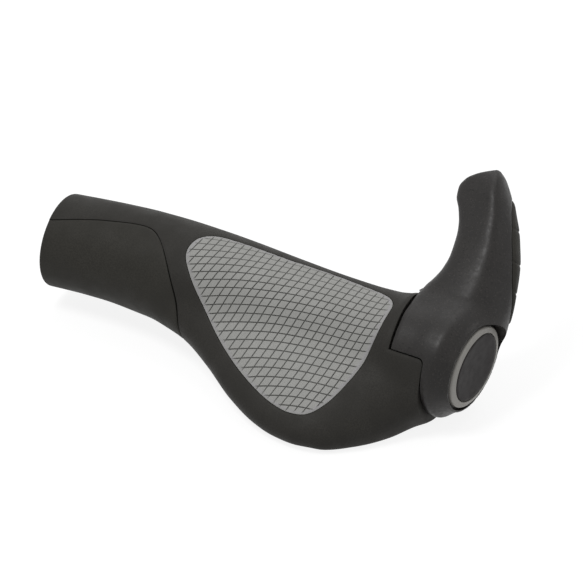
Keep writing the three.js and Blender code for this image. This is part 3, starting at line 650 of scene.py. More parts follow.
def build_body(sizes):
    """Rubber skin with pockets for the pad and the panel."""
    stations = np.concatenate([
        -DATUM + RIM_ROUND * np.array([0, 0.04, 0.12, 0.25, 0.42, 0.65, 1]), np.linspace(0.8, 142, 202),
    ])
    count = 250
    whole = np.interp(stations, table_x, table_arc[:, -1])
    s = whole[:, None] * np.arange(count) / count
    x = np.repeat(stations[:, None], count, axis=1)
    phi = angle_of(x, s)
    drop = rim_drop(x)
    drop = np.maximum(drop, softened(-edge_depth(x, s, pad_outline), PAD_BANK))
    drop = np.maximum(drop, softened(-edge_depth(x, s, panel_outline), PANEL_BANK))
    drop = np.maximum(drop, softened(end_distance(x, s), END_BANK))
    body = loft("grip_skin", skin_offset(x, phi, -drop))
    combine(body, end_tool(0, 0, PAST_END, BORE_RADIUS / 2, PAST_WING, PAST_WING, 0, 0))
    combine(body, rod(-DATUM - 1, PAST_END, CORE_RADIUS + FIT_GAP))
    combine(body, rod(RING_START - SEAM_GAP, PAST_END, SHELL_BORE))
    combine(body, web(FIT_GAP))
    pad_room = grown(pad_outline, sizes.pad_seam / MM)
    panel_room = grown(panel_outline, panel_seam(sizes))
    for room, thickness in ((pad_room, PAD_THICKNESS), (panel_room, PANEL_THICKNESS)):
        floor = constant(-thickness - FIT_GAP)
        combine(body, plate("pocket", room, on_skin, floor, constant(1), 140, 90))
    return body


def end_distance(x, s):
    """Distance of skin points from the grip's outboard end line."""
    phis, xs, _ = end_line(0, 0, 0, 0)
    turn = np.mod(phis - TOP_ANGLE, 2 * math.pi)
    order = np.argsort(turn)
    line = np.stack([xs, arc_of(xs, phis)], -1)[order]
    total = table_arc[END_ROW, -1]
    line = np.concatenate([line - (0, total), line, line + (0, total)])
    distance = np.full(x.shape, FAR)
    near = x > END_NEAR
    distance[near] = line_distance(np.stack([x[near], s[near]], -1), line)
    return distance


# Mean distance of the pad's groove lines, and a point inside the pad that closes its block
AROUND_PITCH = 2.7
ALONG_PITCH = 2.8
PAD_INSIDE = (86, -6, -3)
# Depth and width of the finger pad's fine grooves and of their wide part on the front
FINE_GROOVE = (0.3, 0.34)
WIDE_GROOVE = (0.6, 0.5)
# Lines of the pad's grooves. One set runs round the grip: stations at lengths round the section.
# The other runs along it: lengths round the section at stations. Each table row is one line's number.
AROUND_LINES = (-16, -2, 13)
AROUND_LENGTHS = (6, 14, 24, 34, 44, 58)
around_stations = np.array([
    (49.0, 48.9, 45.9, 41.5, 35.8, 30.8),
    (86.1, 86.2, 83.3, 80.2, 78.1, 75.0),
    (128.7, 128.2, 125.5, 122.3, 120.6, 116.3),
])
ALONG_LINES = (-12, -5, 2, 10)
ALONG_STATIONS = (50, 68, 86, 104, 122)
along_lengths = np.array([
    (10.2, 5.0, 0.6, -1.6, -1.5),
    (29.7, 23.1, 18.4, 16.0, 16.2),
    (52.4, 44.2, 37.3, 34.2, 33.6),
    (86.4, 78.2, 66.5, 58.7, 57.6),
])


def groove_crossings(around, along):
    """Station and length round the section where two groove lines cross, for line numbers."""
    across = weights(AROUND_LINES, around) @ around_stations
    level = weights(ALONG_LINES, along) @ along_lengths
    s = np.full(around.shape, 30.0)
    for _ in range(24):
        x = np.sum(across * weights(AROUND_LENGTHS, np.clip(s, -10, 75)), axis=-1)
        s = np.sum(level * weights(ALONG_STATIONS, np.clip(x, 35, 135)), axis=-1)
    return x, s


def stud_lines(first, last, pitch, width):
    """Line numbers across the studs from first to last, and how deep the groove is at each."""
    edge = width / 2 / pitch
    steps = [(0, 1.0), (edge * 0.55, 0.75), (edge, 0.0), (0.34, 0.0), (0.66, 0.0), (1 - edge, 0.0),
             (1 - edge * 0.55, 0.75)]
    numbers = [line + at for line in range(first, last) for at, _ in steps]
    return np.array(numbers), np.array([deep for _ in range(first, last) for _, deep in steps])


def build_pad(sizes):
    """Grey pad with its studs between two sets of fine grooves."""
    around, around_cut = stud_lines(-19, 15, AROUND_PITCH, sizes.groove_width / MM)
    along, along_cut = stud_lines(-14, 13, ALONG_PITCH, sizes.groove_width / MM)
    x, s = groove_crossings(*np.broadcast_arrays(around[None, :], along[:, None]))
    depth = edge_depth(x, s, pad_outline)
    border_width = sizes.border_width / MM
    cut = np.maximum(along_cut[:, None], around_cut[None, :])
    cut = cut * np.clip((depth - border_width) / 0.12, 0, 1)
    border = np.clip((border_width + 0.15 - depth) / 0.15, 0, 1)
    drop = sizes.groove_depth / MM * cut - 0.1 * border + softened(depth, PAD_RIM)
    surface = on_skin(x, np.clip(s, 0.5, 90), -drop)
    m, n = x.shape
    faces = [face for face in band(m, n) if face[1] % n]
    rim = list(range(n)) + [i * n + n - 1 for i in range(1, m)]
    rim += [(m - 1) * n + j for j in range(n - 2, -1, -1)] + [i * n for i in range(m - 2, 0, -1)]
    faces += [(b, a, m * n) for a, b in zip(rim, rim[1:] + rim[:1])]
    points = np.concatenate([surface.reshape(-1, 3), [PAD_INSIDE]])
    body = mesh_body("pad_block", points, faces)
    # The groove attribute carries the groove mask, which the pad's colour uses to paint shade into the
    # grooves
    for name, values in (("groove", cut), ("border", border)):
        layer = body.data.attributes.new(name, "FLOAT", "POINT")
        layer.data.foreach_set("value", np.append(values.reshape(-1), 0).astype(np.float32))
    tool = plate("pad_limits", pad_outline, on_skin, constant(-PAD_THICKNESS), constant(2), 150, 60)
    combine(body, tool, "INTERSECT")
    return body


def build_panel():
    """Second rubber panel at the inboard end."""
    outer = lambda x, s: -rim_drop(x) - softened(edge_depth(x, s, panel_outline), PANEL_BANK)
    return plate("panel", panel_outline, on_skin, constant(-PANEL_THICKNESS), outer, 110, 110)


# The horn's inboard edge, its outboard edge and its half thickness, at heights along it
horn_inboard = curve([
    (0, 124), (14, 124), (18.3, 125.3), (23.2, 128), (27, 129.5), (32, 130.3), (38, 130), (42, 129.2),
    (47, 127), (51, 124.6), (54, 124.3), (57, 125.6), (59.5, 128.5), (61.3, 131.6), (HORN_LENGTH, 134.6),
])
horn_outboard = curve([
    (0, 150), (8, 153.5), (14, 155.3), (20, 155), (30, 153.4), (36, 151.9), (42, 149.5), (47, 147.2),
    (51, 144.8), (55, 142.3), (59, 139.4), (61.3, 137.5), (HORN_LENGTH, 135.6),
])
horn_half = curve([
    (0, 14.9), (14, 12.9), (20, 10.8), (30, 9), (42, 8.5), (53, 8.4), (57, 7.5), (60, 5.5),
    (HORN_LENGTH, 1.5),
])
# How far the crest between the horn's rear and outboard faces lies inboard of its outboard edge
crest_inset = curve([
    (0, 5.4), (14, 10.6), (20, 10.3), (30, 8.9), (36, 7.8), (43, 5.9), (50, 3.8), (56, 2.4),
    (HORN_LENGTH, 0.4),
])
# Directions in degrees from outboard towards the rider: the outboard face's, then the rear face's,
# which leans away from the crest
face_angle = curve([(0, 57), (20, 50), (36, 45), (50, 28), (HORN_LENGTH, 25)])
rear_angle = curve([(0, 90), (20, 97), (36, 104), (50, 108), (HORN_LENGTH, 106)])
CREST_FULLNESS = 0.7


def horn_radius(t, g):
    """Radius of the horn's section at height t and angle g from outboard towards the rider."""
    a = (horn_outboard(t) - horn_inboard(t)) / 2
    b = horn_half(t)
    crest = a - crest_inset(t)
    crest_depth = b * (1 - np.abs(crest / a) ** HORN_POWER) ** (1 / HORN_POWER)
    total = oval(g, a, b, HORN_POWER) ** -FACET_POWER
    for look in (np.radians(face_angle(t)), np.radians(rear_angle(t))):
        reach = crest * np.cos(look) + crest_depth * np.sin(look) + CREST_FULLNESS
        facing = np.maximum(np.cos(g - look), 0.05)
        total = total + (reach / facing) ** -FACET_POWER
    return total ** (-1 / FACET_POWER)


def horn_point(t, g, offset):
    """Point of the horn at height t and angle g, moved outward by the offset."""
    r = horn_radius(t, g) + offset
    centre = (horn_inboard(t) + horn_outboard(t)) / 2
    x = centre + r * np.cos(g)
    flat = np.stack(np.broadcast_arrays(x, 0.0, 0.0), -1)
    return flat + t[..., None] * HORN_UP + (r * np.sin(g))[..., None] * HORN_BACK


def on_horn(t, s, offset):
    """Point of the horn at height t and length s round it, for the finger pad."""
    return horn_point(t, s / FINGER_MEAN, offset)


root_profile = curve([
    (SHELL_START, 17.05), (129, 17.45), (135, 18), (140, 18.75), (143.7, ROOT_RADIUS), (144.7, 18.7),
    (146.6, 17.6), (148.6, 16.3), (LIP_START, 15.8),
])


def root_outline():
    """Profile of the root with its rounded lip, as (station, radius)."""
    x = np.linspace(SHELL_START, LIP_START, 60)
    lip = [(150.1, 15.66), (ROOT_END_X, 15.45), (ROOT_END_X, RECESS_RADIUS), (ROOT_END_X, 0)]
    return np.concatenate([[(SHELL_START, 0)], np.stack([x, root_profile(x)], -1), lip])


def build_shell_form():
    """Outer form of the bar end: root and horn flowing into each other."""
    t = np.concatenate([np.linspace(0, 54, 50), np.linspace(54.6, HORN_LENGTH, 20)])
    g = np.linspace(0, 2 * math.pi, 90, endpoint=False)
    horn = loft("horn", horn_point(t[:, None] + 0 * g, g[None, :] + 0 * t[:, None], 0.0))
    outline = root_outline()
    body = turned("shell", outline, 96, root_lean)
    combine(body, horn, "UNION")
    remesh = body.modifiers.new("even", "REMESH")
    remesh.mode = "VOXEL"
    remesh.voxel_size = SHELL_GRAIN
    mesh = evaluated(body)
    count = len(mesh.vertices)
    points = np.empty(count * 3)
    mesh.vertices.foreach_get("co", points)
    points = points.reshape(-1, 3)
    edges = np.empty(len(mesh.edges) * 2, np.int32)
    mesh.edges.foreach_get("vertices", edges)
    a, b = edges.reshape(-1, 2).T
    degree = np.bincount(np.concatenate([a, b]), minlength=count)[:, None]
    for turn in range(6):
        if turn < 4:
            total = np.zeros_like(points)
            np.add.at(total, a, points[b])
            np.add.at(total, b, points[a])
            points = 0.4 * points + 0.6 * total / degree
        for _ in range(3):
            value, slope = form_distance(points, outline)
            points = points - value[:, None] * slope
    drop = shell_edge_drop(points)
    value, slope = form_distance(points, outline)
    points = points - drop[:, None] * slope
    mesh.vertices.foreach_set("co", points.reshape(-1))
    mesh.update()
    return body


def gradient(field, points, step=0.02):
    """Value of a field of points and its slope along the three axes."""
    value = field(points)
    slope = np.stack([(field(points + step * axis) - value) / step for axis in np.eye(3)], -1)
    return value, slope


def form_distance(points, outline):
    """Distance from the blended form of root and horn, and its direction."""
    def root_field(p):
        above = END_SLOPE * height_above(p)
        x = p[:, 0]
        for _ in range(8):
            x = p[:, 0] - root_lean(x) * above
        flat = np.stack([x, np.hypot(p[:, 1], p[:, 2])], -1)
        distance = line_distance(flat, outline)
        inside = (flat[:, 0] > outline[0, 0]) & (flat[:, 0] < ROOT_END_X)
        inside &= flat[:, 1] < np.interp(flat[:, 0], outline[1:-2, 0], outline[1:-2, 1])
        return np.where(inside, -distance, distance)

    def horn_field(p):
        t = p @ HORN_UP
        h = np.clip(t, 0, HORN_LENGTH)
        dx = p[:, 0] - (horn_inboard(h) + horn_outboard(h)) / 2
        dp = p @ HORN_BACK
        side = np.hypot(dx, dp) - horn_radius(h, np.arctan2(dp, dx))
        return np.maximum(side, np.maximum(t - HORN_LENGTH, -t))

    def blended(p):
        a = root_field(p)
        raw, slope = gradient(horn_field, p)
        b = raw / np.maximum(np.linalg.norm(slope, axis=1), 0.7)
        h = np.clip(0.5 + 0.5 * (b - a) / FORM_BLEND, 0, 1)
        return b * (1 - h) + a * h - FORM_BLEND * h * (1 - h)

    value, slope = gradient(blended, points)
    size = np.maximum(np.linalg.norm(slope, axis=1, keepdims=True), 0.3)
    return np.clip(value / size[:, 0], -0.5, 0.5), slope / size


def shell_edge_drop(points):
    """How far the shell's skin falls away towards its seam and the finger pad's pocket."""
    phis, xs, _ = end_line(SECTOR_GAP, SEAM_GAP, STEP_GAP, TURN_ROOM)
    turn = np.array([0, 2 * math.pi * ROOT_MEAN])
    line = np.stack([xs, phis * ROOT_MEAN], -1)
    line = np.concatenate([line - turn, line])
    phi = np.arctan2(points[:, 2], points[:, 1])
    radius = np.hypot(points[:, 1], points[:, 2])
    place = np.stack([points[:, 0], phi * ROOT_MEAN], -1)
    distance = np.minimum(line_distance(place, line), line_distance(place + turn, line))
    distance[radius > HORN_CLEAR] = FAR
    drop = softened(distance, SHELL_BANK)
    t = points @ HORN_UP
    back = points @ HORN_BACK
    g = np.arctan2(back, points[:, 0] - (horn_inboard(t) + horn_outboard(t)) / 2)
    pocket = edge_depth(t, g * FINGER_MEAN, finger_outline)
    near = (t > FINGER_BAND[0]) & (g < FINGER_BAND[1])
    return np.maximum(drop, np.where(near, softened(-pocket, POCKET_BANK), 0))


def build_shell(finger_seam):
    """Bar end with its root, clamp room, screw hole and pockets."""
    body = build_shell_form()
    combine(body, end_tool(
        SECTOR_GAP, SEAM_GAP, SHELL_CUT_START, 1, PAST_WING, ROOT_RADIUS - 0.2, STEP_GAP, TURN_ROOM))
    combine(body, rod(SEAM_X - 10, SHELL_WEB_START, SHELL_BORE))
    combine(body, rod(0, PAST_END, RING_INNER))
    room = [(RECESS_FLOOR, 0), (RECESS_FLOOR, RECESS_RADIUS), (PAST_END, RECESS_RADIUS), (PAST_END, 0)]
    combine(body, turned("cap_room", room, 160, np.ones_like))
    half = EAR_WIDTH / 2 + FIT_GAP
    depths = (HEAD_SEAT - 0.5, THREAD_EAR + FIT_GAP)
    combine(body, horn_box((SCREW_X - half, SCREW_X + half), (RING_INNER, EAR_TOP + FIT_GAP), depths))
    combine(body, horn_rod(-PAST_WING, HEAD_EAR, WASHER_RADIUS + FIT_GAP))
    pocket = grown(finger_outline, finger_seam / MM)
    floor = constant(-FINGER_THICKNESS - FIT_GAP)
    combine(body, plate("pocket", pocket, on_horn, floor, constant(3), 90, 60))
    return body


def build_finger_pad():
    """Rubber finger pad on the horn's front, with three cross grooves that fade out at the side."""
    def outer(t, s):
        depth = edge_depth(t, s, finger_outline)
        fine = sum(np.exp(-((t - at) / FINE_GROOVE[1]) ** 2) for at in FINGER_GROOVES)
        wide = sum(np.exp(-((t - at) / WIDE_GROOVE[1]) ** 4) for at in FINGER_GROOVES)
        front = np.clip((-5 - s) / 3, 0, 1)
        cut = FINE_GROOVE[0] * fine + WIDE_GROOVE[0] * wide * front
        return FINGER_PROUD - softened(depth, FINGER_RIM) - cut
    return plate("finger", finger_outline, on_horn, constant(-FINGER_THICKNESS), outer, 190, 60)


def build_cap():
    """End cap with its rounded rim and plug. The head leans, the plug doesn't."""
    around = np.linspace(0, math.pi / 2, 8)
    shoulder = CAP_FACE - CAP_CROWN
    inner = CAP_RADIUS - CAP_EDGE
    rim = [(shoulder + CAP_EDGE * math.sin(a), inner + CAP_EDGE * math.cos(a)) for a in around]
    room = INLAY_RADIUS + FIT_GAP
    profile = [
        (CAP_BACK, 0), (CAP_BACK, CAP_RADIUS - CAP_CHAMFER), (CAP_BACK + CAP_CHAMFER, CAP_RADIUS), *rim,
        (CAP_FACE, room + INLAY_CHAMFER), (CAP_FACE - INLAY_CHAMFER, room), (CAP_FACE - INLAY_DEPTH, room),
        (CAP_FACE - INLAY_DEPTH, 0),
    ]
    body = turned("cap", profile, 160, np.ones_like)
    combine(body, rod(CAP_BACK - PLUG_LENGTH, CAP_BACK + CAP_FLOOR, PLUG_RADIUS, 96), "UNION")
    combine(body, rod(CAP_BACK - PLUG_LENGTH - 1, CAP_BACK, PLUG_RADIUS - PLUG_WALL, 96))
    return body


def build_inlay():
    """Round inlay in the end cap, left plain and very slightly dished."""
    back = CAP_FACE - INLAY_DEPTH + FIT_GAP
    r = INLAY_RADIUS
    profile = [
        (back, 0), (back, r - 0.1), (back + 0.1, r), (CAP_FACE - 0.3, r), (CAP_FACE - 0.12, r - 0.08),
        (CAP_FACE, r - 0.35),
    ]
    profile += [(CAP_FACE - 0.25 * (1 - (k / 12) ** 2), (r - 0.35) * k / 12) for k in range(11, 0, -1)]
    return turned("inlay", profile + [(CAP_FACE - 0.25, 0)], 128, np.ones_like)


def build_sleeve():
    """Inner sleeve with its stiffening web and four slots at the clamp."""
    body = rod(-DATUM, CORE_END, CORE_RADIUS)
    combine(body, web(0), "UNION")
    combine(body, rod(-DATUM - 1, CORE_END + 1, BORE_RADIUS))
    slot = (-SLOT_WIDTH / 2, SLOT_WIDTH / 2)
    for a in (math.pi / 2, math.pi):
        along = np.array([0, math.cos(a), math.sin(a)])
        across = np.array([0, -math.sin(a), math.cos(a)])
        combine(body, block((RING_START, CORE_END + 1), (-SLOT_REACH, SLOT_REACH), slot, along, across))
    return body


def build_ring():
    """Split clamp ring with two ears."""
    c = RING_CHAMFER
    body = turned_ring("ring", [
        (RING_START, RING_INNER + c), (RING_START + c, RING_INNER), (RING_END - c, RING_INNER),
        (RING_END, RING_INNER + c), (RING_END, RING_OUTER - c), (RING_END - c, RING_OUTER),
        (RING_START + c, RING_OUTER), (RING_START, RING_OUTER - c),
    ])
    half = EAR_WIDTH / 2
    ears = horn_box((SCREW_X - half, SCREW_X + half), (RING_INNER + 0.6, EAR_TOP), (HEAD_EAR, THREAD_EAR))
    combine(ears, rod(RING_START - 1, RING_END + 1, RING_INNER + 0.5))
    combine(body, ears, "UNION")
    slit = (-EAR_SLIT / 2, EAR_SLIT / 2)
    combine(body, horn_box((RING_START - 1, RING_END + 1), (0, EAR_TOP + 1), slit))
    combine(body, horn_rod(HEAD_EAR - 1, THREAD_EAR + 1, SCREW_RADIUS + FIT_GAP))
    return body


def build_screw():
    """Clamp screw with its round head and hex socket."""
    body = horn_rod(HEAD_SEAT, THREAD_EAR, SCREW_RADIUS, chamfer=0.3)
    top = HEAD_SEAT - SCREW_HEAD_LENGTH
    combine(body, horn_rod(top, HEAD_SEAT + 0.35, SCREW_HEAD_RADIUS, chamfer=0.35), "UNION")
    combine(body, horn_rod(top - 1, top + HEX_DEPTH, HEX_SOCKET / math.sqrt(3), 6))
    return body


def build_washer():
    """Flat washer under the screw's head."""
    body = horn_rod(HEAD_EAR - FIT_GAP - WASHER_THICKNESS, HEAD_EAR - FIT_GAP, WASHER_RADIUS, chamfer=0.15)
    combine(body, horn_rod(HEAD_SEAT - 1, HEAD_EAR + 1, SCREW_RADIUS + FIT_GAP))
    return body


class Finish:
    """A material's node tree with short calls for what the finishes here share."""

    def __init__(self, name, roughness, metallic=0.0, gloss=0.5):
        self.material = bpy.data.materials.new(name)
        self.material.use_nodes = True
        self.nodes = self.material.node_tree.nodes
        self.links = self.material.node_tree.links
        self.shader = self.nodes["Principled BSDF"]
        self.shader.inputs["Roughness"].default_value = roughness
        self.shader.inputs["Metallic"].default_value = metallic
        self.shader.inputs["Specular IOR Level"].default_value = gloss
        self.place = self.nodes.new("ShaderNodeTexCoord").outputs["Object"]

    def noise(self, size, detail=3.0, stretch=None):
        """Noise with patches of about that size in millimetres."""
        node = self.nodes.new("ShaderNodeTexNoise")
        node.inputs["Scale"].default_value = 1 / (size * MM)
        node.inputs["Detail"].default_value = detail
        place = self.place
        if stretch:
            mapping = self.nodes.new("ShaderNodeMapping")
            mapping.inputs["Scale"].default_value = stretch
            self.links.new(self.place, mapping.inputs["Vector"])
            place = mapping.outputs["Vector"]
        self.links.new(place, node.inputs["Vector"])
        return node.outputs["Fac"]

    def band(self, value, low, high, to_low=0.0, to_high=1.0):
        """Maps a value from one range to another, with a soft start and end."""
        node = self.nodes.new("ShaderNodeMapRange")
        node.interpolation_type = "SMOOTHSTEP"
        sockets = ("From Min", "From Max", "To Min", "To Max")
        for socket, limit in zip(sockets, (low, high, to_low, to_high)):
            node.inputs[socket].default_value = limit
        self.links.new(value, node.inputs["Value"])
        return node.outputs["Result"]

    def mix(self, share, first, second):
        """Mixes two colours, each a value or a link."""
        node = self.nodes.new("ShaderNodeMix")
        node.data_type = "RGBA"
        self.links.new(share, node.inputs[0])
        for socket, colour in zip((node.inputs[6], node.inputs[7]), (first, second)):
            if isinstance(colour, bpy.types.NodeSocket):
                self.links.new(colour, socket)
            else:
                socket.default_value = (*colour, 1)
        return node.outputs[2]

    def mottled(self, size, detail, colour, low, high):
        """Colour that varies softly between two shades, in patches of about that size."""
        patches = self.band(self.noise(size, detail), 0.3, 0.7)
        return self.mix(patches, shade(colour, low), shade(colour, high))

    def worn(self, size, detail, low, high):
        """Roughness that varies softly between two values."""
        self.roughness(self.band(self.noise(size, detail), 0.25, 0.75, low, high))

    def attribute(self, name):
        node = self.nodes.new("ShaderNodeAttribute")
        node.attribute_name = name
        return node.outputs["Fac"]

    def sum(self, first, second, share):
        node = self.nodes.new("ShaderNodeMath")
        node.operation = "MULTIPLY_ADD"
        node.inputs[1].default_value = share
        self.links.new(second, node.inputs[0])
        self.links.new(first, node.inputs[2])
        return node.outputs["Value"]

    def bump(self, height, distance, strength=1.0):
        node = self.nodes.new("ShaderNodeBump")
        node.inputs["Distance"].default_value = distance * MM
        node.inputs["Strength"].default_value = strength
        self.links.new(height, node.inputs["Height"])
        self.links.new(node.outputs["Normal"], self.shader.inputs["Normal"])

    def colour(self, socket):
        self.links.new(socket, self.shader.inputs["Base Color"])

    def roughness(self, socket):
        self.links.new(socket, self.shader.inputs["Roughness"])


def shade(colour, factor):
    return tuple(min(1.0, c * factor) for c in colour)


def rubber_finish(name, colour):
    """Soft matt rubber with a fine moulded grain and faint handling marks."""
    finish = Finish(name, 0.6, gloss=0.14)
    base = finish.mottled(14, 3, colour, 0.88, 1.12)
    fine = finish.band(finish.noise(0.45, 2), 0.35, 0.65)
    finish.colour(finish.mix(fine, shade(colour, 0.82), base))
    finish.worn(5, 4, 0.54, 0.66)
    finish.bump(finish.sum(finish.noise(0.35, 2), finish.noise(1.6, 2), 0.4), 0.03, 0.7)
    return finish.material


def pad_finish(name, colour):
    """Grey pad rubber with painted shade darkening its grooves, and a little lighter on its border."""
    finish = Finish(name, 0.62, gloss=0.25)
    base = finish.mottled(9, 3, colour, 0.95, 1.05)
    fine = finish.band(finish.noise(0.4, 2), 0.3, 0.7)
    base = finish.mix(fine, shade(colour, 0.95), base)
    border = tuple(c * f for c, f in zip(colour, (1.02, 1.0, 1.06)))
    base = finish.mix(finish.attribute("border"), base, border)
    # Painted shade: the colour turns much darker in the grooves, where shade falls
    groove = finish.band(finish.attribute("groove"), 0.1, 0.9)
    finish.colour(finish.mix(groove, base, shade(colour, 0.4)))
    finish.worn(4, 3, 0.56, 0.68)
    finish.bump(finish.noise(0.4, 3), 0.03, 0.6)
    return finish.material


def shell_finish(name, colour):
    """Moulded fibre-filled nylon with light flecks in a dark ground."""
    finish = Finish(name, 0.42, gloss=0.24)
    base = finish.mottled(8, 4, colour, 0.84, 1.16)
    flecks = finish.band(finish.noise(0.55, 3), 0.56, 0.72)
    base = finish.mix(flecks, base, shade(colour, 2.0))
    pits = finish.band(finish.noise(0.8, 3, (1, 1.3, 0.8)), 0.3, 0.42)
    finish.colour(finish.mix(pits, shade(colour, 0.5), base))
    finish.roughness(finish.band(finish.noise(1.2, 4), 0.3, 0.7, 0.36, 0.5))
    finish.bump(finish.sum(finish.noise(0.4, 3), finish.noise(2.2, 2), 0.15), 0.035, 0.7)
    return finish.material


def cap_finish(name, colour, roughness, gloss=0.3):
    """Smooth moulded plastic with a faint spark-eroded texture."""
    finish = Finish(name, roughness, gloss=gloss)
    base = finish.mottled(7, 3, colour, 0.95, 1.05)
    fine = finish.band(finish.noise(0.3, 2), 0.35, 0.65)
    finish.colour(finish.mix(fine, shade(colour, 0.95), base))
    finish.worn(3, 3, roughness - 0.06, roughness + 0.06)
    finish.bump(finish.noise(0.28, 2), 0.02, 0.5)
    return finish.material


def metal_finish(name, colour, roughness, grain):
    """Machined metal with fine tool marks along one direction."""
    finish = Finish(name, roughness, 1.0)
    marks = finish.band(finish.noise(0.5, 4, grain), 0.3, 0.7)
    finish.colour(finish.mix(marks, shade(colour, 0.85), shade(colour, 1.08)))
    finish.worn(1.5, 3, roughness - 0.08, roughness + 0.1)
    finish.bump(marks, 0.01, 0.5)
    return finish.material


def colour_property(name, description, default):
    return bpy.props.FloatVectorProperty(
        name=name, description=description, subtype="COLOR", size=3, min=0, max=1, default=default)


class GripColours(bpy.types.PropertyGroup):
    """Colours of the grip's moulded parts."""

    rubber: colour_property("Rubber", "Black rubber of the grip body", (0.028, 0.0265, 0.0235))
    panel: colour_property("Panel", "Rubber of the panel and the finger pad", (0.029, 0.0275, 0.0235))
    pad: colour_property("Palm pad", "Grey rubber of the palm pad", (0.303, 0.303, 0.289))
    shell: colour_property("Bar end", "Fibre-filled nylon of the bar end", (0.017, 0.0155, 0.0146))
    sleeve: colour_property("Sleeve", "Nylon of the inner sleeve", (0.018, 0.018, 0.018))
    cap: colour_property("End cap", "Grey plastic of the end cap", (0.29, 0.28, 0.26))
    inlay: colour_property("Inlay", "Dark inlay of the end cap", (0.023, 0.0205, 0.0205))
    clamp: colour_property("Clamp ring", "Blackened aluminium of the clamp ring", (0.05, 0.05, 0.052))
    screw: colour_property("Screw", "Blackened steel of the screw and washer", (0.06, 0.06, 0.065))


def number(name, description, default, **kind):
    return bpy.props.FloatProperty(name=name, description=description, default=default, **kind)


def size_property(name, description, default):
    return number(name, description, default, unit="LENGTH", min=0, precision=5)


class GripSizes(bpy.types.PropertyGroup):
    """Widths and depths of the grooves and seams that only the eye needs."""

    groove_width: size_property("Groove width", "Width of the palm pad's grooves", 0.0004)
    groove_depth: size_property("Groove depth", "Depth of the palm pad's grooves", 0.0004)
    border_width: size_property("Border width", "Plain border round the palm pad's studs", 0.0009)
    pad_seam: size_property("Pad seam", "Gap round the palm pad", 0.00022)
    seam_top: size_property("Panel seam, top", "Gap round the panel on top of the grip", 0.00025)
    seam_under: size_property("Panel seam, under", "Gap round the panel under the hand", 0.0007)
    finger_seam: size_property("Finger pad seam", "Gap round the finger pad", 0.0003)


class GripView(bpy.types.PropertyGroup):
    """Where the camera stands and how strong the lamps are."""

    azimuth: number("Azimuth", "Camera's turn round the grip", math.radians(29.04), unit="ROTATION")
    elevation: number("Elevation", "Camera's height above the horizon", math.radians(33.9), unit="ROTATION")
    distance: number("Distance", "Camera's distance from the grip", 6.2286, unit="LENGTH")
    lens: number("Lens", "Focal length in millimetres", 1200.0)
    key: number("Key lamp", "Power of the lamp above", 4.4, unit="POWER")
    rim: number("Rear lamp", "Power of the lamp above and behind", 2.5, unit="POWER")
    fill: number("Fill lamp", "Power of the lamp on the outboard side", 0.8, unit="POWER")
    sky: number("Sky", "Strength of the even light all round", 0.38, min=0)


# Each lamp's name, place, aim, size in metres and the property that holds its power
LAMPS = (
    ("lamp_above", (-0.10, -0.42, 0.90), (0.10, 0, 0.02), 0.3, "key"),
    ("lamp_behind", (0.0, 0.45, 0.80), (0.08, 0, 0), 0.8, "rim"),
    ("lamp_right", (1.0, 0.1, 0.25), (0.14, 0, 0.02), 0.6, "fill"),
)
# Where the camera aims, in metres to the right, up and towards it
AIM = (0.07417, -0.01692, 0.0407)
FLOOR_REACH = 12.0
# Grey that the floor is lit with, and the grey and the glow that it is seen with
FLOOR_LIT = 0.7
FLOOR_SEEN = 0.22
FLOOR_GLOW = 0.86


def soft_lamp(name, place, aim, size, power):
    """Square soft lamp."""
    lamp = bpy.data.lights.new(name, "AREA")
    lamp.shape = "SQUARE"
    lamp.size = size
    lamp.energy = power
    body = bpy.data.objects.new(name, lamp)
    body.location = place
    body.rotation_euler = (Vector(aim) - Vector(place)).to_track_quat("-Z", "Y").to_euler()
    bpy.context.scene.collection.objects.link(body)


def white_where_seen(tree, lit, seen):
    """Shows one shader to light and another to the camera, mirrors and glass."""
    nodes, links = tree.nodes, tree.links
    path = nodes.new("ShaderNodeLightPath")
    total = path.outputs["Is Camera Ray"]
    for ray in ("Is Glossy Ray", "Is Transmission Ray"):
        either = nodes.new("ShaderNodeMath")
        either.operation = "MAXIMUM"
        links.new(total, either.inputs[0])
        links.new(path.outputs[ray], either.inputs[1])
        total = either.outputs["Value"]
    blend = nodes.new("ShaderNodeMixShader")
    links.new(total, blend.inputs[0])
    links.new(lit.outputs[0], blend.inputs[1])
    links.new(seen.outputs[0], blend.inputs[2])
    return blend


def white_world(strength):
    """Even light all round, seen as white."""
    world = bpy.data.worlds.new("studio")
    world.use_nodes = True
    nodes = world.node_tree.nodes
    sky = nodes["Background"]
    sky.inputs["Color"].default_value = (1, 1, 1, 1)
    sky.inputs["Strength"].default_value = strength
    white = nodes.new("ShaderNodeBackground")
    white.inputs["Color"].default_value = (1, 1, 1, 1)
    blend = white_where_seen(world.node_tree, sky, white)
    world.node_tree.links.new(blend.outputs[0], nodes["World Output"].inputs["Surface"])
    return world


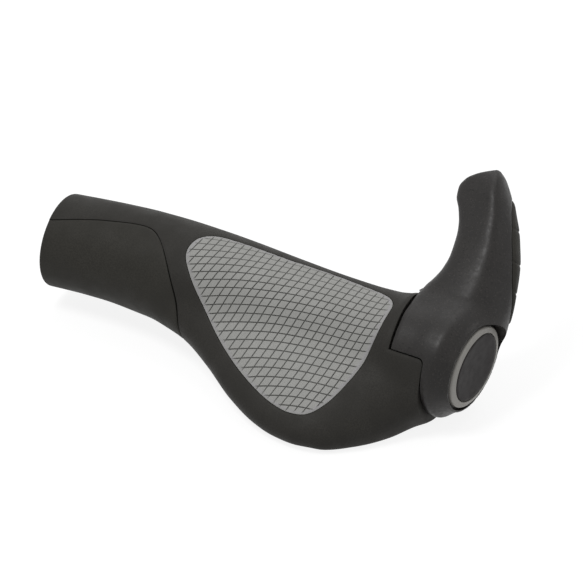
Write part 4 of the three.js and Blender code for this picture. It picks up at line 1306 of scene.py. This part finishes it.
def white_floor(height, half_side):
    """Plain pale floor that is seen as white, with the object's faint shadow."""
    corners = [(-half_side, -half_side, height), (half_side, -half_side, height),
               (half_side, half_side, height), (-half_side, half_side, height)]
    mesh = bpy.data.meshes.new("floor")
    mesh.from_pydata(corners, [], [(0, 1, 2, 3)])
    paint = bpy.data.materials.new("floor_paint")
    paint.use_nodes = True
    nodes, links = paint.node_tree.nodes, paint.node_tree.links
    nodes.clear()
    matt = nodes.new("ShaderNodeBsdfDiffuse")
    matt.inputs["Color"].default_value = (FLOOR_LIT, FLOOR_LIT, FLOOR_LIT, 1)
    faint = nodes.new("ShaderNodeBsdfDiffuse")
    faint.inputs["Color"].default_value = (FLOOR_SEEN, FLOOR_SEEN, FLOOR_SEEN, 1)
    glow = nodes.new("ShaderNodeEmission")
    glow.inputs["Strength"].default_value = FLOOR_GLOW
    seen = nodes.new("ShaderNodeAddShader")
    links.new(faint.outputs[0], seen.inputs[0])
    links.new(glow.outputs[0], seen.inputs[1])
    blend = white_where_seen(paint.node_tree, matt, seen)
    output = nodes.new("ShaderNodeOutputMaterial")
    links.new(blend.outputs[0], output.inputs["Surface"])
    mesh.materials.append(paint)
    return bpy.data.objects.new("floor", mesh)


class GRIP_OT_stage(bpy.types.Operator):
    """Adds the camera, the lamps, the white surroundings and the pale floor"""

    bl_idname = "grip_parts.stage"
    bl_label = "Stage"

    def execute(self, context):
        scene = context.scene
        look = scene.grip_view
        a, e = look.azimuth, look.elevation
        back = Vector((math.sin(a) * math.cos(e), -math.cos(a) * math.cos(e), math.sin(e)))
        right = Vector((math.cos(a), math.sin(a), 0))
        up = back.cross(right)
        aim = right * AIM[0] + up * AIM[1] + back * AIM[2]
        camera = bpy.data.objects.new("camera", bpy.data.cameras.new("camera"))
        camera.data.lens = look.lens
        camera.data.sensor_width = 36
        camera.location = aim + back * look.distance
        camera.rotation_mode = "QUATERNION"
        camera.rotation_quaternion = (-back).to_track_quat("-Z", "Y")
        camera.data.clip_start = 0.05
        camera.data.clip_end = 40
        scene.collection.objects.link(camera)
        scene.camera = camera
        scene.view_settings.view_transform = "Standard"

        for name, place, aim, size, power in LAMPS:
            soft_lamp(name, place, aim, size, getattr(look, power))

        scene.world = white_world(look.sky)
        floor = white_floor(cad_box[0][2], FLOOR_REACH)
        scene.collection.objects.link(floor)
        return {"FINISHED"}


class GRIP_OT_sleeve(bpy.types.Operator):
    """Adds the inner sleeve with its web"""

    bl_idname = "grip_parts.sleeve"
    bl_label = "Sleeve"

    def execute(self, context):
        finish = cap_finish("sleeve_nylon", context.scene.grip_colours.sleeve, 0.5)
        finish_piece(build_sleeve(), "sleeve", finish, "grip", "grip_core")
        return {"FINISHED"}


class GRIP_OT_body(bpy.types.Operator):
    """Adds the rubber body and its inboard panel"""

    bl_idname = "grip_parts.body"
    bl_label = "Rubber body and panel"

    def execute(self, context):
        colours = context.scene.grip_colours
        body = build_body(context.scene.grip_sizes)
        rubber = rubber_finish("body_rubber", colours.rubber)
        finish_piece(body, "rubber_body", rubber, "grip", "grip_body")
        panel = rubber_finish("panel_rubber", colours.panel)
        finish_piece(build_panel(), "panel", panel, "grip", "inboard_panel")
        return {"FINISHED"}


class GRIP_OT_palm_pad(bpy.types.Operator):
    """Adds the grey palm pad with its diamond grooves"""

    bl_idname = "grip_parts.palm_pad"
    bl_label = "Palm pad"

    def execute(self, context):
        finish = pad_finish("pad_rubber", context.scene.grip_colours.pad)
        pad = build_pad(context.scene.grip_sizes)
        finish_piece(pad, "grooved_pad", finish, "grip", "palm_pad")
        return {"FINISHED"}


class GRIP_OT_bar_end(bpy.types.Operator):
    """Adds the bar end's shell and its finger pad"""

    bl_idname = "grip_parts.bar_end"
    bl_label = "Bar end"

    def execute(self, context):
        colours = context.scene.grip_colours
        nylon = shell_finish("shell_nylon", colours.shell)
        shell = build_shell(context.scene.grip_sizes.finger_seam)
        finish_piece(shell, "shell", nylon, "bar_end", "horn_shell")
        rubber = rubber_finish("finger_rubber", colours.panel)
        finish_piece(build_finger_pad(), "finger_rest", rubber, "bar_end", "finger_pad")
        return {"FINISHED"}


class GRIP_OT_clamp(bpy.types.Operator):
    """Adds the clamp ring, its screw and its washer"""

    bl_idname = "grip_parts.clamp"
    bl_label = "Clamp"

    def execute(self, context):
        colours = context.scene.grip_colours
        blackened = metal_finish("clamp_aluminium", colours.clamp, 0.38, (1, 0.1, 0.1))
        dark = metal_finish("screw_steel", colours.screw, 0.35, (0.2, 1, 1))
        finish_piece(build_ring(), "ring", blackened, "bar_end", "clamp_ring")
        finish_piece(build_screw(), "screw", dark, "bar_end", "clamp_screw")
        finish_piece(build_washer(), "washer", dark, "bar_end", "clamp_washer")
        return {"FINISHED"}


class GRIP_OT_end_cap(bpy.types.Operator):
    """Adds the end cap and its round inlay"""

    bl_idname = "grip_parts.end_cap"
    bl_label = "End cap"

    def execute(self, context):
        colours = context.scene.grip_colours
        grey = cap_finish("cap_plastic", colours.cap, 0.45)
        dark = cap_finish("inlay_plastic", colours.inlay, 0.5, 0.08)
        finish_piece(build_cap(), "cap", grey, "bar_end", "end_cap")
        finish_piece(build_inlay(), "inlay", dark, "bar_end", "cap_inlay")
        return {"FINISHED"}


OPERATORS = (
    GRIP_OT_stage, GRIP_OT_sleeve, GRIP_OT_body, GRIP_OT_palm_pad, GRIP_OT_bar_end, GRIP_OT_clamp,
    GRIP_OT_end_cap,
)


class GRIP_PT_parts(bpy.types.Panel):
    """Lists the grip's pieces and their settings"""

    bl_idname = "GRIP_PT_parts"
    bl_label = "Handlebar grip"
    bl_space_type = "VIEW_3D"
    bl_region_type = "UI"
    bl_category = "Grip"

    def draw(self, context):
        for group in (context.scene.grip_sizes, context.scene.grip_colours, context.scene.grip_view):
            for name in group.__annotations__:
                self.layout.prop(group, name)
        for operator in OPERATORS:
            self.layout.operator(operator.bl_idname)


CLASSES = (GripSizes, GripColours, GripView, *OPERATORS, GRIP_PT_parts)


def register():
    for item in CLASSES:
        bpy.utils.register_class(item)
    bpy.types.Scene.grip_sizes = bpy.props.PointerProperty(type=GripSizes)
    bpy.types.Scene.grip_colours = bpy.props.PointerProperty(type=GripColours)
    bpy.types.Scene.grip_view = bpy.props.PointerProperty(type=GripView)


def unregister():
    del bpy.types.Scene.grip_view
    del bpy.types.Scene.grip_colours
    del bpy.types.Scene.grip_sizes
    for item in reversed(CLASSES):
        bpy.utils.unregister_class(item)


def main():
    register()
    for operator in OPERATORS:
        group, name = operator.bl_idname.split(".")
        getattr(getattr(bpy.ops, group), name)()


if __name__ == "__main__":
    main()
